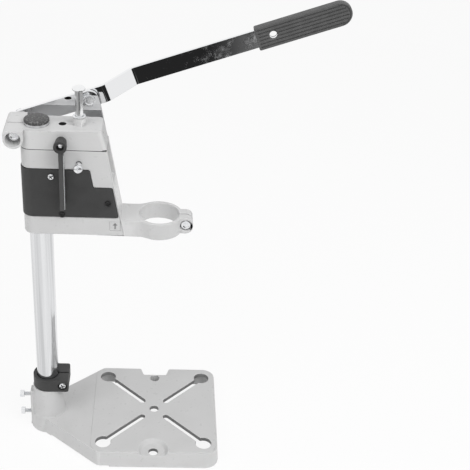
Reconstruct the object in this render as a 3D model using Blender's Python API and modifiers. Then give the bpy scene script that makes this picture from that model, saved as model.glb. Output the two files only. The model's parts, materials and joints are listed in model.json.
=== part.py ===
"""A bench drill stand: a cast base, a steel column, and a head whose carriage is fed down by a hand lever.

Metres, +Z up. The origin is on the column's axis at bench level, +X points to the drill and -Y to the front.
"""

from math import asin, atan2, cos, degrees, hypot, pi, radians, sin, sqrt, tan

import bmesh
import bpy
from mathutils import Matrix, Vector

MM = 0.001

# Clearances and cutters
GAP = 0.3 * MM
RUNNING_GAP = 0.1 * MM
OVERRUN = 5 * MM
OVERLAP = 1 * MM
MERGE_DISTANCE = 0.001 * MM

# Column
TUBE_RADIUS = 12.5 * MM
TUBE_WALL = 1.5 * MM
TUBE_FLOOR = 2.0 * MM
TUBE_RISE = 3.5 * MM
PLUG_DISC = 2.0 * MM
PLUG_CROWN = 0.5 * MM
PLUG_STEM = 12 * MM
PLUG_EDGE = 1.0 * MM

# Base plate, seen from above
THROAT = 125.65 * MM
HALF_WIDTH = 75.5 * MM
PLATE_END = 200 * MM
END_RADIUS = 14 * MM
WAIST_X = 62 * MM
WAIST_RADIUS = 10 * MM
TAIL_HALF_WIDTH = 22.1 * MM
HEEL_RADIUS = 20.5 * MM
NOTCH_MOUTH = 35.2 * MM
NOTCH_FLOOR = 27.9 * MM
NOTCH_DEPTH = 11.5 * MM
NOTCH_CORNER = 2 * MM

# Base plate, in section
WORK_FACE = 21.7 * MM
PAD_STEP = 0.7 * MM
PAD_INSET = 2.2 * MM
PAD_REAR = 53 * MM
PAD_CORNER = 12 * MM
PLATE_THICKNESS = 5.5 * MM
SKIRT = 4.5 * MM
SKIRT_DRAFT = 1.6 * MM
RELIEF_HEIGHT = 1.8 * MM
RELIEF_REAR = 4 * MM
RELIEF_FRONT = 75 * MM
RIB_THICKNESS = 4 * MM
RIB_SPREAD = 12 * MM
RIB_FOOT = 5 * MM

# Slots and holes of the base plate
KEYHOLE_X = 58.2 * MM
KEYHOLE_MARGIN = 17.5 * MM
KEYHOLE_RADIUS = 9.1 * MM
SLOT_HALF_WIDTH = 3.5 * MM
SLOT_TIP = 16.5 * MM
CENTRE_HOLE_RADIUS = 5.25 * MM
BENCH_HOLE_RADIUS = 5.5 * MM
BENCH_BOSS_WALL = 4.5 * MM
REAR_HOLE_MARGIN = 7.4 * MM
FRONT_HOLE_MARGIN = 6.8 * MM
RECESS_RIM = 17 * MM
RECESS_FLOOR_RADIUS = 13.5 * MM
RECESS_DEPTH = 4.5 * MM
RECESS_FLOOR_THICKNESS = 5 * MM

# Column socket of the base
SOCKET_TOP = 59.3 * MM
SOCKET_RADIUS = 17.8 * MM
SOCKET_TAPER = 2 * MM
SOCKET_FLARE = 3 * MM
SCREW_PAD_X = 21.2 * MM
SCREW_PAD_HALF_WIDTH = 6.5 * MM
SCREW_PAD_DROP = 9.3 * MM
LOCK_SCREW_LOW = 15.5 * MM
LOCK_SCREW_HIGH = 41.9 * MM
LOCK_SCREW_RADIUS = 2.5 * MM
LOCK_HEAD_RADIUS = 4.25 * MM
LOCK_HEAD_HEIGHT = 5 * MM
LOCK_SCREW_SHOWN = 7.6 * MM

# Stop collar
STOP_RADIUS = 17 * MM
STOP_LENGTH = 24.8 * MM
STOP_HEIGHT = 15.8 * MM
STOP_CORNER = 2.5 * MM
STOP_SLIT = 1.5 * MM
STOP_SCREW_X = 18.1 * MM
STOP_SCREW_RADIUS = 2.5 * MM
STOP_HEAD_RADIUS = 4.45 * MM
STOP_HEAD_HEIGHT = 3.4 * MM
STOP_SINK = 3.7 * MM
STOP_SINK_RADIUS = 5.2 * MM
STOP_NUT_FLATS = 8 * MM
STOP_NUT_HEIGHT = 4 * MM

# Head: carriage below, bracket above, each with its own sloping front
HEAD_HALF_WIDTH = 18.1 * MM
HEAD_BACK_WALL = 2.2 * MM
HEAD_CORNER = 10.8 * MM
CARRIAGE_BASE = 277.8 * MM
CARRIAGE_HEIGHT = 99.9 * MM
BRACKET_HEIGHT = 20.5 * MM
HEAD_FRONT = 66 * MM
BRACKET_SLOPE = 0.251
CARRIAGE_SLOPE = 0.18
HEEL_ROUND = 1.6 * MM

# Bracket: clamp ears and what stands on its top
CLAMP_BACK = 21.8 * MM
CLAMP_DROP = 9.2 * MM
CLAMP_BOSS_RADIUS = 10.2 * MM
CLAMP_BOSS_NEAR = 21 * MM
CLAMP_BOSS_FAR = 24.5 * MM
CLAMP_CORNER = 4 * MM
CLAMP_SPIGOT_RADIUS = 7 * MM
CLAMP_SLIT = 1.6 * MM
CLAMP_SINK = 12.6 * MM
CLAMP_SINK_RADIUS = 7.9 * MM
CLAMP_BOLT_RADIUS = 3 * MM
CLAMP_HEAD_FLATS = 10 * MM
CLAMP_HEAD_HEIGHT = 4 * MM
CLAMP_THREAD_SHOWN = 1.5 * MM
LEVER_WASHER_RADIUS = 6.2 * MM
LEVER_WASHER_HEIGHT = 1.2 * MM
LEVER_NUT_HEIGHT = 5 * MM
SPRING_X = 26 * MM
SPRING_BORE_RADIUS = 6.5 * MM
SPRING_ROOF = 7.5 * MM
SPRING_HOLE_RADIUS = 4 * MM
SPRING_PIN_RADIUS = 1.5 * MM
SPRING_PIN_DROP = 12.5 * MM
SPRING_PIN_REACH = 10.5 * MM
SPRING_PIN_SHORT = 3 * MM
SPRING_FOOT = 32 * MM
SPRING_FLOOR = 25 * MM
COIL_RADIUS = 4.4 * MM
COIL_WIRE_RADIUS = 0.6 * MM
COIL_CURLS = 14
POINTS_PER_CURL = 9

# Depth stop
ROD_X = 43 * MM
ROD_RADIUS = 4 * MM
ROD_LENGTH = 110 * MM
ROD_HEAD_RADIUS = 6.65 * MM
ROD_HEAD_HEIGHT = 4.1 * MM
ROD_HEAD_RIM = 1.2 * MM
ROD_BORE_DEPTH = 57 * MM
STOP_TRAVEL = 28 * MM
ROD_BOSS_RADIUS = 6.5 * MM
ROD_BOSS_HEIGHT = 8.3 * MM
ROD_WASHER_RADIUS = 6.7 * MM
ROD_WASHER_HEIGHT = 1.2 * MM
ROD_SCREW_DROP = 14.9 * MM
ROD_SCREW_RADIUS = 2.65 * MM
ROD_SCREW_SHOWN = 10 * MM
ROD_SCREW_HEAD_RADIUS = 4.8 * MM
ROD_SCREW_HEAD_HEIGHT = 3.5 * MM

# Depth scale
HOLDER_DROP = 10.5 * MM
HOLDER_ROOT_RADIUS = 5.4 * MM
HOLDER_FACE_RADIUS = 6.75 * MM
HOLDER_LENGTH = 14.9 * MM
HOLDER_SPIGOT_RADIUS = 3 * MM
HOLDER_SPIGOT = 5 * MM
HOLDER_POCKET_RADIUS = 3.75 * MM
HOLDER_POCKET = 7 * MM
HOLDER_SCREW_HEIGHT = 4 * MM
SCALE_THICKNESS = 4.4 * MM
SCALE_WIDTH = 10.4 * MM
SCALE_STAND_OFF = 2 * MM
SCALE_LENGTH = 67 * MM
SCALE_SOCKET = 2.6 * MM
STRIP_THICKNESS = 0.5 * MM
STRIP_MARGIN = 1 * MM
STRIP_HEADROOM = 4 * MM

# Carriage: bushes, front channel and pocket
BUSH_WALL = 1.2 * MM
BUSH_LENGTH = 15 * MM
BORE_RELIEF = 0.8 * MM
CHANNEL_HALF_WIDTH = 13.9 * MM
CHANNEL_DEPTH = 8 * MM
CHANNEL_LENGTH = 41.7 * MM
POCKET_HALF_WIDTH = 9 * MM
POCKET_REAR = 52 * MM
POCKET_LOW_FRONT = 80 * MM
POCKET_LOW_HEIGHT = 22 * MM
POCKET_MID_FRONT = 66 * MM
POCKET_MID_HEIGHT = 48 * MM
POCKET_TOP_FRONT = 57.5 * MM
POCKET_TOP_HEIGHT = 86 * MM
MARK_REAR = 73.7 * MM
MARK_SIZE = 11.7 * MM
MARK_RISE = 6.1 * MM
MARK_DEPTH = 0.8 * MM

# Carriage: arm and drill collar
ARM_HEIGHT = 19.2 * MM
ARM_HALF_WIDTH = 17.5 * MM
ARM_ROOT = 60 * MM
ARM_FILLET = 10 * MM
SEAT_RADIUS = 21.5 * MM
SEAT_WALL = 3.6 * MM
EAR_X = 28.65 * MM
EAR_REACH = 36.2 * MM
EAR_CORNER = 7.5 * MM
EAR_HALF_WIDTH = 10 * MM
EAR_SLIT = 1.8 * MM
EAR_BOLT_RADIUS = 3 * MM
EAR_HEAD_FLATS = 10 * MM
EAR_HEAD_HEIGHT = 4 * MM
EAR_SINK = 6 * MM
EAR_SINK_RADIUS = 6.4 * MM
EAR_WASHER_RADIUS = 5.5 * MM
EAR_WASHER_HEIGHT = 1.2 * MM
EAR_NUT_HEIGHT = 5 * MM
EAR_THREAD_SHOWN = 1.2 * MM

# Side covers, let into the carriage and standing a little proud
COVER_THICKNESS = 2 * MM
COVER_PROUD = 0.8 * MM
COVER_CORNER = 2 * MM
COVER_CUTTER_REACH = 40 * MM
COVER_BASE = 22 * MM
COVER_STEP = 57.9 * MM
COVER_TOP = 78.2 * MM
COVER_TOP_FRONT = 53.9 * MM
COVER_STEP_REAR = 57.5 * MM
COVER_STEP_FRONT = 77 * MM
COVER_BASE_FRONT = 83.5 * MM
COVER_SCREWS = {
    "top": (14.5 * MM, 70.1 * MM),
    "front": (72.3 * MM, 39.5 * MM),
    "rear": (24.7 * MM, 25.4 * MM),
}
COVER_SCREW_RADIUS = 1.5 * MM
COVER_SCREW_LENGTH = 6 * MM
COVER_SCREW_HEAD_RADIUS = 3.3 * MM
COVER_SCREW_HEAD_HEIGHT = 1.6 * MM

# Link between the carriage and the lever
LINK_FOOT_X = 60.1 * MM
LINK_FOOT_DROP = 13.1 * MM
LINK_RADIUS = 10.5 * MM
LINK_THICKNESS = 3.9 * MM
LINK_STAND_OFF = 8.2 * MM
LINK_PIN_RADIUS = 4 * MM
LINK_PIN_DEPTH = 7.6 * MM
LINK_SHOULDER_RADIUS = 6 * MM
LINK_HEAD_RADIUS = 7.5 * MM
LINK_HEAD_HEIGHT = 1 * MM
LINK_END_RADIUS = 6.5 * MM
LINK_END_HEIGHT = 1.5 * MM

# Lever
LEVER_ANGLE = 19.9
LEVER_THICKNESS = 4 * MM
LEVER_WIDTH = 19 * MM
LEVER_DROP = 2.7 * MM
LEVER_STAND_OFF = 1 * MM
LEVER_LINK_REACH = 76.6 * MM
LEVER_SLOT_PLAY = 1.3 * MM
LEVER_JOGGLE_LEAD = 19.4 * MM
LEVER_JOGGLE_RUN = 28.6 * MM
LEVER_JOGGLE = 22.2 * MM
LEVER_BEND_RADIUS = 7.5 * MM
LEVER_ARM_RUN = 132.2 * MM
GRIP_LENGTH = 100.2 * MM
GRIP_WIDTH = 25.3 * MM
GRIP_THICKNESS = 9 * MM
GRIP_CORNER = 1.5 * MM
GRIP_HOLE_INSET = 17.6 * MM
GRIP_HOLE_RADIUS = 4 * MM

# Facets
FINE = 40
MEDIUM = 24
COARSE = 12
ROD_HEAD_STEPS = 6
SMOOTH_ANGLE = 35

# Places that follow from the sizes
KEYHOLE_Y = HALF_WIDTH - KEYHOLE_MARGIN
REAR_HOLE_Y = HALF_WIDTH - NOTCH_DEPTH - REAR_HOLE_MARGIN
FRONT_HOLE_Y = HALF_WIDTH - FRONT_HOLE_MARGIN
LOCK_SCREWS = {"lower": LOCK_SCREW_LOW, "upper": LOCK_SCREW_HIGH}
SOCKET_BORE = TUBE_RADIUS + GAP
BUSH_BORE = TUBE_RADIUS + RUNNING_GAP + BUSH_WALL + GAP
HEAD_BACK = BUSH_BORE + HEAD_BACK_WALL
STOP_BASE = SOCKET_TOP + GAP
CARRIAGE_TOP = CARRIAGE_BASE + CARRIAGE_HEIGHT
BRACKET_BASE = CARRIAGE_TOP + GAP
HEAD_TOP = BRACKET_BASE + BRACKET_HEIGHT
TUBE_TOP = HEAD_TOP + TUBE_RISE
RIM_FACE = WORK_FACE - PAD_STEP
ARM_TOP = CARRIAGE_BASE + ARM_HEIGHT
ARM_MIDDLE = CARRIAGE_BASE + ARM_HEIGHT / 2
CLAMP_Z = HEAD_TOP - CLAMP_DROP
HOLDER_Z = HEAD_TOP - HOLDER_DROP
ROD_SCREW_Z = CARRIAGE_TOP - ROD_SCREW_DROP
ROD_SEAT = HEAD_TOP + ROD_BOSS_HEIGHT + GAP + ROD_WASHER_HEIGHT
ROD_HEAD_Z = ROD_SEAT + STOP_TRAVEL
COVER_SEAT = HEAD_HALF_WIDTH + COVER_PROUD - COVER_THICKNESS - GAP
LINK_FOOT_Z = CARRIAGE_TOP - LINK_FOOT_DROP
LINK_NEAR = HEAD_HALF_WIDTH + LINK_STAND_OFF
LINK_FAR = LINK_NEAR + LINK_THICKNESS
LEVER_NEAR = LINK_FAR + LEVER_STAND_OFF
LEVER_FAR = LEVER_NEAR + LEVER_THICKNESS
LEVER_JOGGLE_START = LEVER_LINK_REACH + LEVER_JOGGLE_LEAD
LEVER_JOGGLE_END = LEVER_JOGGLE_START + LEVER_JOGGLE_RUN
GRIP_START = LEVER_JOGGLE_END + LEVER_ARM_RUN
GRIP_END = GRIP_START + GRIP_LENGTH
LEVER_ALONG = Vector((cos(radians(LEVER_ANGLE)), 0, sin(radians(LEVER_ANGLE))))
LEVER_UP = Vector((-LEVER_ALONG.z, 0, LEVER_ALONG.x))
CLAMP_POINT = Vector((-CLAMP_BACK, 0, CLAMP_Z))
LINK_HEAD_POINT = CLAMP_POINT + LEVER_ALONG * LEVER_LINK_REACH - LEVER_UP * LEVER_DROP
LINK_FOOT_POINT = Vector((LINK_FOOT_X, 0, LINK_FOOT_Z))
LINK_LENGTH = (LINK_HEAD_POINT - LINK_FOOT_POINT).length

# Colour, roughness and metallic value of each finish
FINISHES = {
    "cast_paint": ((0.62, 0.63, 0.63, 1), 0.38, 0.0),
    "chrome": ((0.78, 0.78, 0.80, 1), 0.10, 1.0),
    "black_plastic": ((0.035, 0.036, 0.04, 1), 0.5, 0.0),
    "grip_plastic": ((0.055, 0.058, 0.065, 1), 0.6, 0.0),
    "black_steel": ((0.025, 0.026, 0.03, 1), 0.45, 0.0),
    "zinc": ((0.66, 0.67, 0.68, 1), 0.3, 1.0),
    "scale_metal": ((0.72, 0.73, 0.74, 1), 0.35, 0.9),
    "bronze": ((0.55, 0.42, 0.22, 1), 0.4, 0.9),
    "spring_steel": ((0.42, 0.43, 0.45, 1), 0.35, 1.0),
}

# Which way a shape's own +Z points, for each axis it can lie along
FACING = {
    "X": Matrix(((0, 0, 1, 0), (1, 0, 0, 0), (0, 1, 0, 0), (0, 0, 0, 1))),
    "Y": Matrix(((0, 1, 0, 0), (0, 0, 1, 0), (1, 0, 0, 0), (0, 0, 0, 1))),
    "Z": Matrix.Identity(4),
}


def clear_scene():
    for obj in list(bpy.data.objects):
        bpy.data.objects.remove(obj, do_unlink=True)


def new_collection(name):
    collection = bpy.data.collections.new(name)
    bpy.context.scene.collection.children.link(collection)
    return collection


clear_scene()
stand = new_collection("drill_stand")
cutters = new_collection("cutters")
cutters.hide_render = True


# Outlines

def arc(centre, radius, start, end, steps):
    """Points on a circle from one angle in degrees to another, both ends included."""
    turns = [radians(start + (end - start) * i / steps) for i in range(steps + 1)]
    return [(centre[0] + radius * cos(turn), centre[1] + radius * sin(turn)) for turn in turns]


def circle(centre, radius, steps):
    return arc(centre, radius, 0, 360 * (1 - 1 / steps), steps - 1)


def rounded(corners, steps=4):
    """A closed outline through (x, y, radius) corners, each turned into an arc."""
    points = []
    for i, (x, y, radius) in enumerate(corners):
        here = Vector((x, y))
        if not radius:
            points.append((x, y))
            continue
        before = (Vector(corners[i - 1][:2]) - here).normalized()
        after = (Vector(corners[(i + 1) % len(corners)][:2]) - here).normalized()
        half = before.angle(after) / 2
        centre = here + (before + after).normalized() * radius / sin(half)
        first = here + before * radius / tan(half) - centre
        last = here + after * radius / tan(half) - centre
        start = degrees(atan2(first.y, first.x))
        turn = (degrees(atan2(last.y, last.x)) - start + 180) % 360 - 180
        points += arc(centre, radius, start, start + turn, steps)
    return points


def drawn_in(corners, distance):
    """The corners of a counter-clockwise outline moved inwards, with their radii changed to suit."""
    moved = []
    for i, (x, y, radius) in enumerate(corners):
        here = Vector((x, y))
        before = (here - Vector(corners[i - 1][:2])).normalized()
        after = (Vector(corners[(i + 1) % len(corners)][:2]) - here).normalized()
        first = Vector((-before.y, before.x))
        second = Vector((-after.y, after.x))
        place = here + (first + second) * distance / (1 + first.dot(second))
        bends_out = before.x * after.y > before.y * after.x
        smaller = max(0, radius - distance)
        moved.append((*place, radius and (smaller if bends_out else radius + distance)))
    return moved


def stadium(start, end, radius, steps=8):
    """Two round ends joined by straight sides."""
    heading = degrees(atan2(end[1] - start[1], end[0] - start[0]))
    near = arc(start, radius, heading + 90, heading + 270, steps)
    return near + arc(end, radius, heading - 90, heading + 90, steps)


def head_outline(half_width, front):
    """The head from above: a back rounded at its corners, then straight sides to the front."""
    inset = HEAD_HALF_WIDTH - half_width
    corner = HEAD_CORNER - inset
    return rounded([
        (inset - HEAD_BACK, half_width, corner),
        (inset - HEAD_BACK, -half_width, corner),
        (front, -half_width, 0),
        (front, half_width, 0),
    ], MEDIUM // 3)


def front_at(z):
    """Where the front of the head stands at a height: it slopes less below the bracket."""
    bracket_drop = HEAD_TOP - max(z, BRACKET_BASE)
    carriage_drop = BRACKET_BASE - min(z, BRACKET_BASE)
    return HEAD_FRONT + BRACKET_SLOPE * bracket_drop + CARRIAGE_SLOPE * carriage_drop


# Shapes: each is a helper until it is made a part

def helper(name, mesh, matrix=Matrix.Identity(4)):
    obj = bpy.data.objects.new(name, mesh)
    obj.matrix_world = matrix
    obj.hide_render = True
    obj.display_type = "WIRE"
    cutters.objects.link(obj)
    return obj


def mesh_from(name, shape):
    mesh = bpy.data.meshes.new(name)
    bmesh.ops.recalc_face_normals(shape, faces=shape.faces)
    shape.to_mesh(mesh)
    shape.free()
    return mesh


def box(name, x_range, y_range, z_range):
    ranges = (x_range, y_range, z_range)
    size = Matrix.Diagonal([high - low for low, high in ranges] + [1])
    centre = Matrix.Translation([(low + high) / 2 for low, high in ranges])
    shape = bmesh.new()
    bmesh.ops.create_cube(shape, size=1, matrix=centre @ size)
    return helper(name, mesh_from(name, shape))


def rod(name, radius, axis, low, high, place, segments=MEDIUM):
    """A cylinder along an axis, from low to high on it."""
    shape = bmesh.new()
    bmesh.ops.create_cone(
        shape,
        cap_ends=True,
        segments=segments,
        radius1=radius,
        radius2=radius,
        depth=high - low,
        matrix=Matrix.Translation((0, 0, (low + high) / 2)),
    )
    return helper(name, mesh_from(name, shape), Matrix.Translation(place) @ FACING[axis])


def hexagon(name, flats, axis, low, high, place):
    return rod(name, flats / 2 / cos(pi / 6), axis, low, high, place, 6)


def turned(name, profile, axis, place, segments=MEDIUM, closed=False):
    """A profile of (radius, height) points, outer side downwards, turned about an axis."""
    mesh = bpy.data.meshes.new(name)
    count = len(profile)
    edges = [(i, i + 1) for i in range(count - 1)] + ([(count - 1, 0)] if closed else [])
    mesh.from_pydata([(radius, 0, height) for radius, height in profile], edges, [])
    obj = helper(name, mesh, Matrix.Translation(place) @ FACING[axis])
    screw = obj.modifiers.new("turn", "SCREW")
    screw.steps = segments
    screw.render_steps = segments
    screw.use_merge_vertices = True
    screw.merge_threshold = MERGE_DISTANCE
    return obj


def ring(name, inner, outer, axis, low, high, place, segments=MEDIUM):
    profile = [(outer, high), (outer, low), (inner, low), (inner, high)]
    return turned(name, profile, axis, place, segments, closed=True)


def stepped_hole(name, radius, sink_radius, face, sink, end, place):
    """A through hole along Y with a sink for a bolt's head in its near face."""
    profile = [
        (0, end + OVERRUN),
        (radius, end + OVERRUN),
        (radius, face + sink),
        (sink_radius, face + sink),
        (sink_radius, face - OVERRUN),
        (0, face - OVERRUN),
    ]
    return turned(name, profile, "Y", place)


def prism(name, outlines, axis, low, high, place=(0, 0, 0)):
    """Flat outlines, the first around the others, drawn out along an axis from low to high."""
    curve = bpy.data.curves.new(name, "CURVE")
    curve.dimensions = "2D"
    curve.fill_mode = "BOTH"
    curve.extrude = (high - low) / 2
    for outline in outlines:
        spline = curve.splines.new("POLY")
        spline.points.add(len(outline) - 1)
        spline.use_cyclic_u = True
        for point, (first, second) in zip(spline.points, outline):
            flat = (second, first) if axis == "Y" else (first, second)
            point.co = (*flat, 0, 1)
    drawn = bpy.data.objects.new(name, curve)
    middle = Matrix.Translation((0, 0, (low + high) / 2))
    drawn.matrix_world = Matrix.Translation(place) @ FACING[axis] @ middle
    cutters.objects.link(drawn)
    graph = bpy.context.evaluated_depsgraph_get()
    mesh = bpy.data.meshes.new_from_object(drawn.evaluated_get(graph))
    matrix = drawn.matrix_world.copy()
    bpy.data.objects.remove(drawn)
    shape = bmesh.new()
    shape.from_mesh(mesh)
    bmesh.ops.remove_doubles(shape, verts=shape.verts, dist=MERGE_DISTANCE)
    bpy.data.meshes.remove(mesh)
    return helper(name, mesh_from(name, shape), matrix)


def loft(name, sections):
    """A solid through outlines of as many points each, every one at its own height."""
    shape = bmesh.new()
    rings = [[shape.verts.new((x, y, z)) for x, y in outline] for z, outline in sections]
    for lower, upper in zip(rings, rings[1:]):
        for i in range(len(lower)):
            shape.faces.new((lower[i - 1], lower[i], upper[i], upper[i - 1]))
    shape.faces.new(rings[0])
    shape.faces.new(rings[-1])
    return helper(name, mesh_from(name, shape))


def boolean(target, operation, *others):
    for other in others:
        modifier = target.modifiers.new(other.name, "BOOLEAN")
        modifier.operation = operation
        modifier.object = other
    return target


def join(target, *others):
    return boolean(target, "UNION", *others)


def cut(target, *others):
    return boolean(target, "DIFFERENCE", *others)


def give_finish(obj, finish):
    """A material of the object's own, with the values of a finish."""
    colour, roughness, metallic = FINISHES[finish]
    material = bpy.data.materials.new(obj.name)
    material.use_nodes = True
    shader = material.node_tree.nodes["Principled BSDF"]
    shader.inputs["Base Color"].default_value = colour
    shader.inputs["Roughness"].default_value = roughness
    shader.inputs["Metallic"].default_value = metallic
    obj.data.materials.append(material)


def part(obj, name, finish, pivot=None):
    """Makes a helper a part of the stand, with its own material and the pivot it moves with."""
    cutters.objects.unlink(obj)
    stand.objects.link(obj)
    obj.name = name
    obj.data.name = name
    obj.hide_render = False
    obj.display_type = "TEXTURED"
    give_finish(obj, finish)
    if obj.data.polygons:
        obj.data.shade_smooth()
        obj.data.set_sharp_from_angle(angle=radians(SMOOTH_ANGLE))
    if pivot and obj.parent is None:
        obj.parent = pivot
        obj.matrix_parent_inverse = pivot.matrix_world.inverted()
    return obj


def pivot_at(name, place, tilt=0):
    """An empty on a joint's axis, tilted about +Y by an angle in radians."""
    empty = bpy.data.objects.new(name, None)
    empty.matrix_world = Matrix.Translation(place) @ Matrix.Rotation(tilt, 4, "Y")
    empty.empty_display_size = TUBE_RADIUS
    stand.objects.link(empty)
    return empty


def ride(pivot, *objects):
    """Shapes drawn in a pivot's own frame take their place in it."""
    for obj in objects:
        obj.parent = pivot
        obj.matrix_parent_inverse = Matrix.Identity(4)


# Fasteners

def pan_screw(name, head_radius, head_height, radius, length, place, side=-1):
    """A pan-headed screw along Y, its head to one side; place is the middle of the head's underside."""
    crown = head_height / 3
    profile = [
        (0, length),
        (radius, length),
        (radius, 0),
        (head_radius, 0),
        (head_radius, crown - head_height),
        (head_radius - crown, -head_height),
        (0, -head_height),
    ]
    if side > 0:
        profile = [(across, -along) for across, along in reversed(profile)]
    return turned(name, profile, "Y", place, COARSE)


def hex_nut(name, flats, height, radius, axis, place):
    nut = hexagon(name, flats, axis, 0, height, place)
    return cut(nut, rod(name + "_bore", radius + GAP, axis, -OVERRUN, height + OVERRUN, place))


# Base

def plate_outline():
    """The base from above, counter-clockwise from the heel's rear side."""
    slope = (HALF_WIDTH - TAIL_HALF_WIDTH) / WAIST_X
    square = 1 + slope * slope
    reach = slope * TAIL_HALF_WIDTH
    heel_x = (-reach + sqrt(reach**2 - square * (TAIL_HALF_WIDTH**2 - HEEL_RADIUS**2))) / square
    heel_angle = degrees(atan2(TAIL_HALF_WIDTH + slope * heel_x, heel_x))
    heel = [(x, y, 0) for x, y in arc((0, 0), HEEL_RADIUS, heel_angle, 360 - heel_angle, MEDIUM // 2)]
    floor = HALF_WIDTH - NOTCH_DEPTH
    return heel + [
        (WAIST_X, -HALF_WIDTH, WAIST_RADIUS),
        (PLATE_END, -HALF_WIDTH, END_RADIUS),
        (PLATE_END, HALF_WIDTH, END_RADIUS),
        (THROAT + NOTCH_MOUTH / 2, HALF_WIDTH, NOTCH_CORNER),
        (THROAT + NOTCH_FLOOR / 2, floor, NOTCH_CORNER),
        (THROAT - NOTCH_FLOOR / 2, floor, NOTCH_CORNER),
        (THROAT - NOTCH_MOUTH / 2, HALF_WIDTH, NOTCH_CORNER),
        (WAIST_X, HALF_WIDTH, WAIST_RADIUS),
    ]


def pad_outline():
    """The raised working face, a step inside the plate's edge."""
    half = HALF_WIDTH - PAD_INSET
    floor = HALF_WIDTH - NOTCH_DEPTH - PAD_INSET
    end = PLATE_END - PAD_INSET
    corner = END_RADIUS - PAD_INSET
    return rounded([
        (PAD_REAR, -half, PAD_CORNER),
        (end, -half, corner),
        (end, half, corner),
        (THROAT + NOTCH_MOUTH / 2 + PAD_INSET, half, NOTCH_CORNER),
        (THROAT + NOTCH_FLOOR / 2 + PAD_INSET, floor, NOTCH_CORNER),
        (THROAT - NOTCH_FLOOR / 2 - PAD_INSET, floor, NOTCH_CORNER),
        (THROAT - NOTCH_MOUTH / 2 - PAD_INSET, half, NOTCH_CORNER),
        (PAD_REAR, half, PAD_CORNER),
    ])


def keyhole(side_x, side_y):
    """A slot towards the middle of the plate that ends in a round hole."""
    distance = hypot(KEYHOLE_X, KEYHOLE_Y)
    heading = atan2(side_y * KEYHOLE_Y, side_x * KEYHOLE_X)
    mouth = degrees(asin(SLOT_HALF_WIDTH / KEYHOLE_RADIUS))
    tip = arc((SLOT_TIP + SLOT_HALF_WIDTH, 0), SLOT_HALF_WIDTH, 90, 270, COARSE // 2)
    points = tip + arc((distance, 0), KEYHOLE_RADIUS, mouth - 180, 180 - mouth, MEDIUM)
    along = Vector((cos(heading), sin(heading)))
    across = Vector((-along.y, along.x))
    return [tuple(Vector((THROAT, 0)) + along * u + across * v) for u, v in points]


def recess_outline(radius):
    """The bench screw's recess in the front edge, round behind and open in front."""
    front = -HALF_WIDTH - OVERRUN
    behind = arc((THROAT, -FRONT_HOLE_Y), radius, 0, 180, COARSE)
    return behind + [(THROAT - radius, front), (THROAT + radius, front)]


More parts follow.
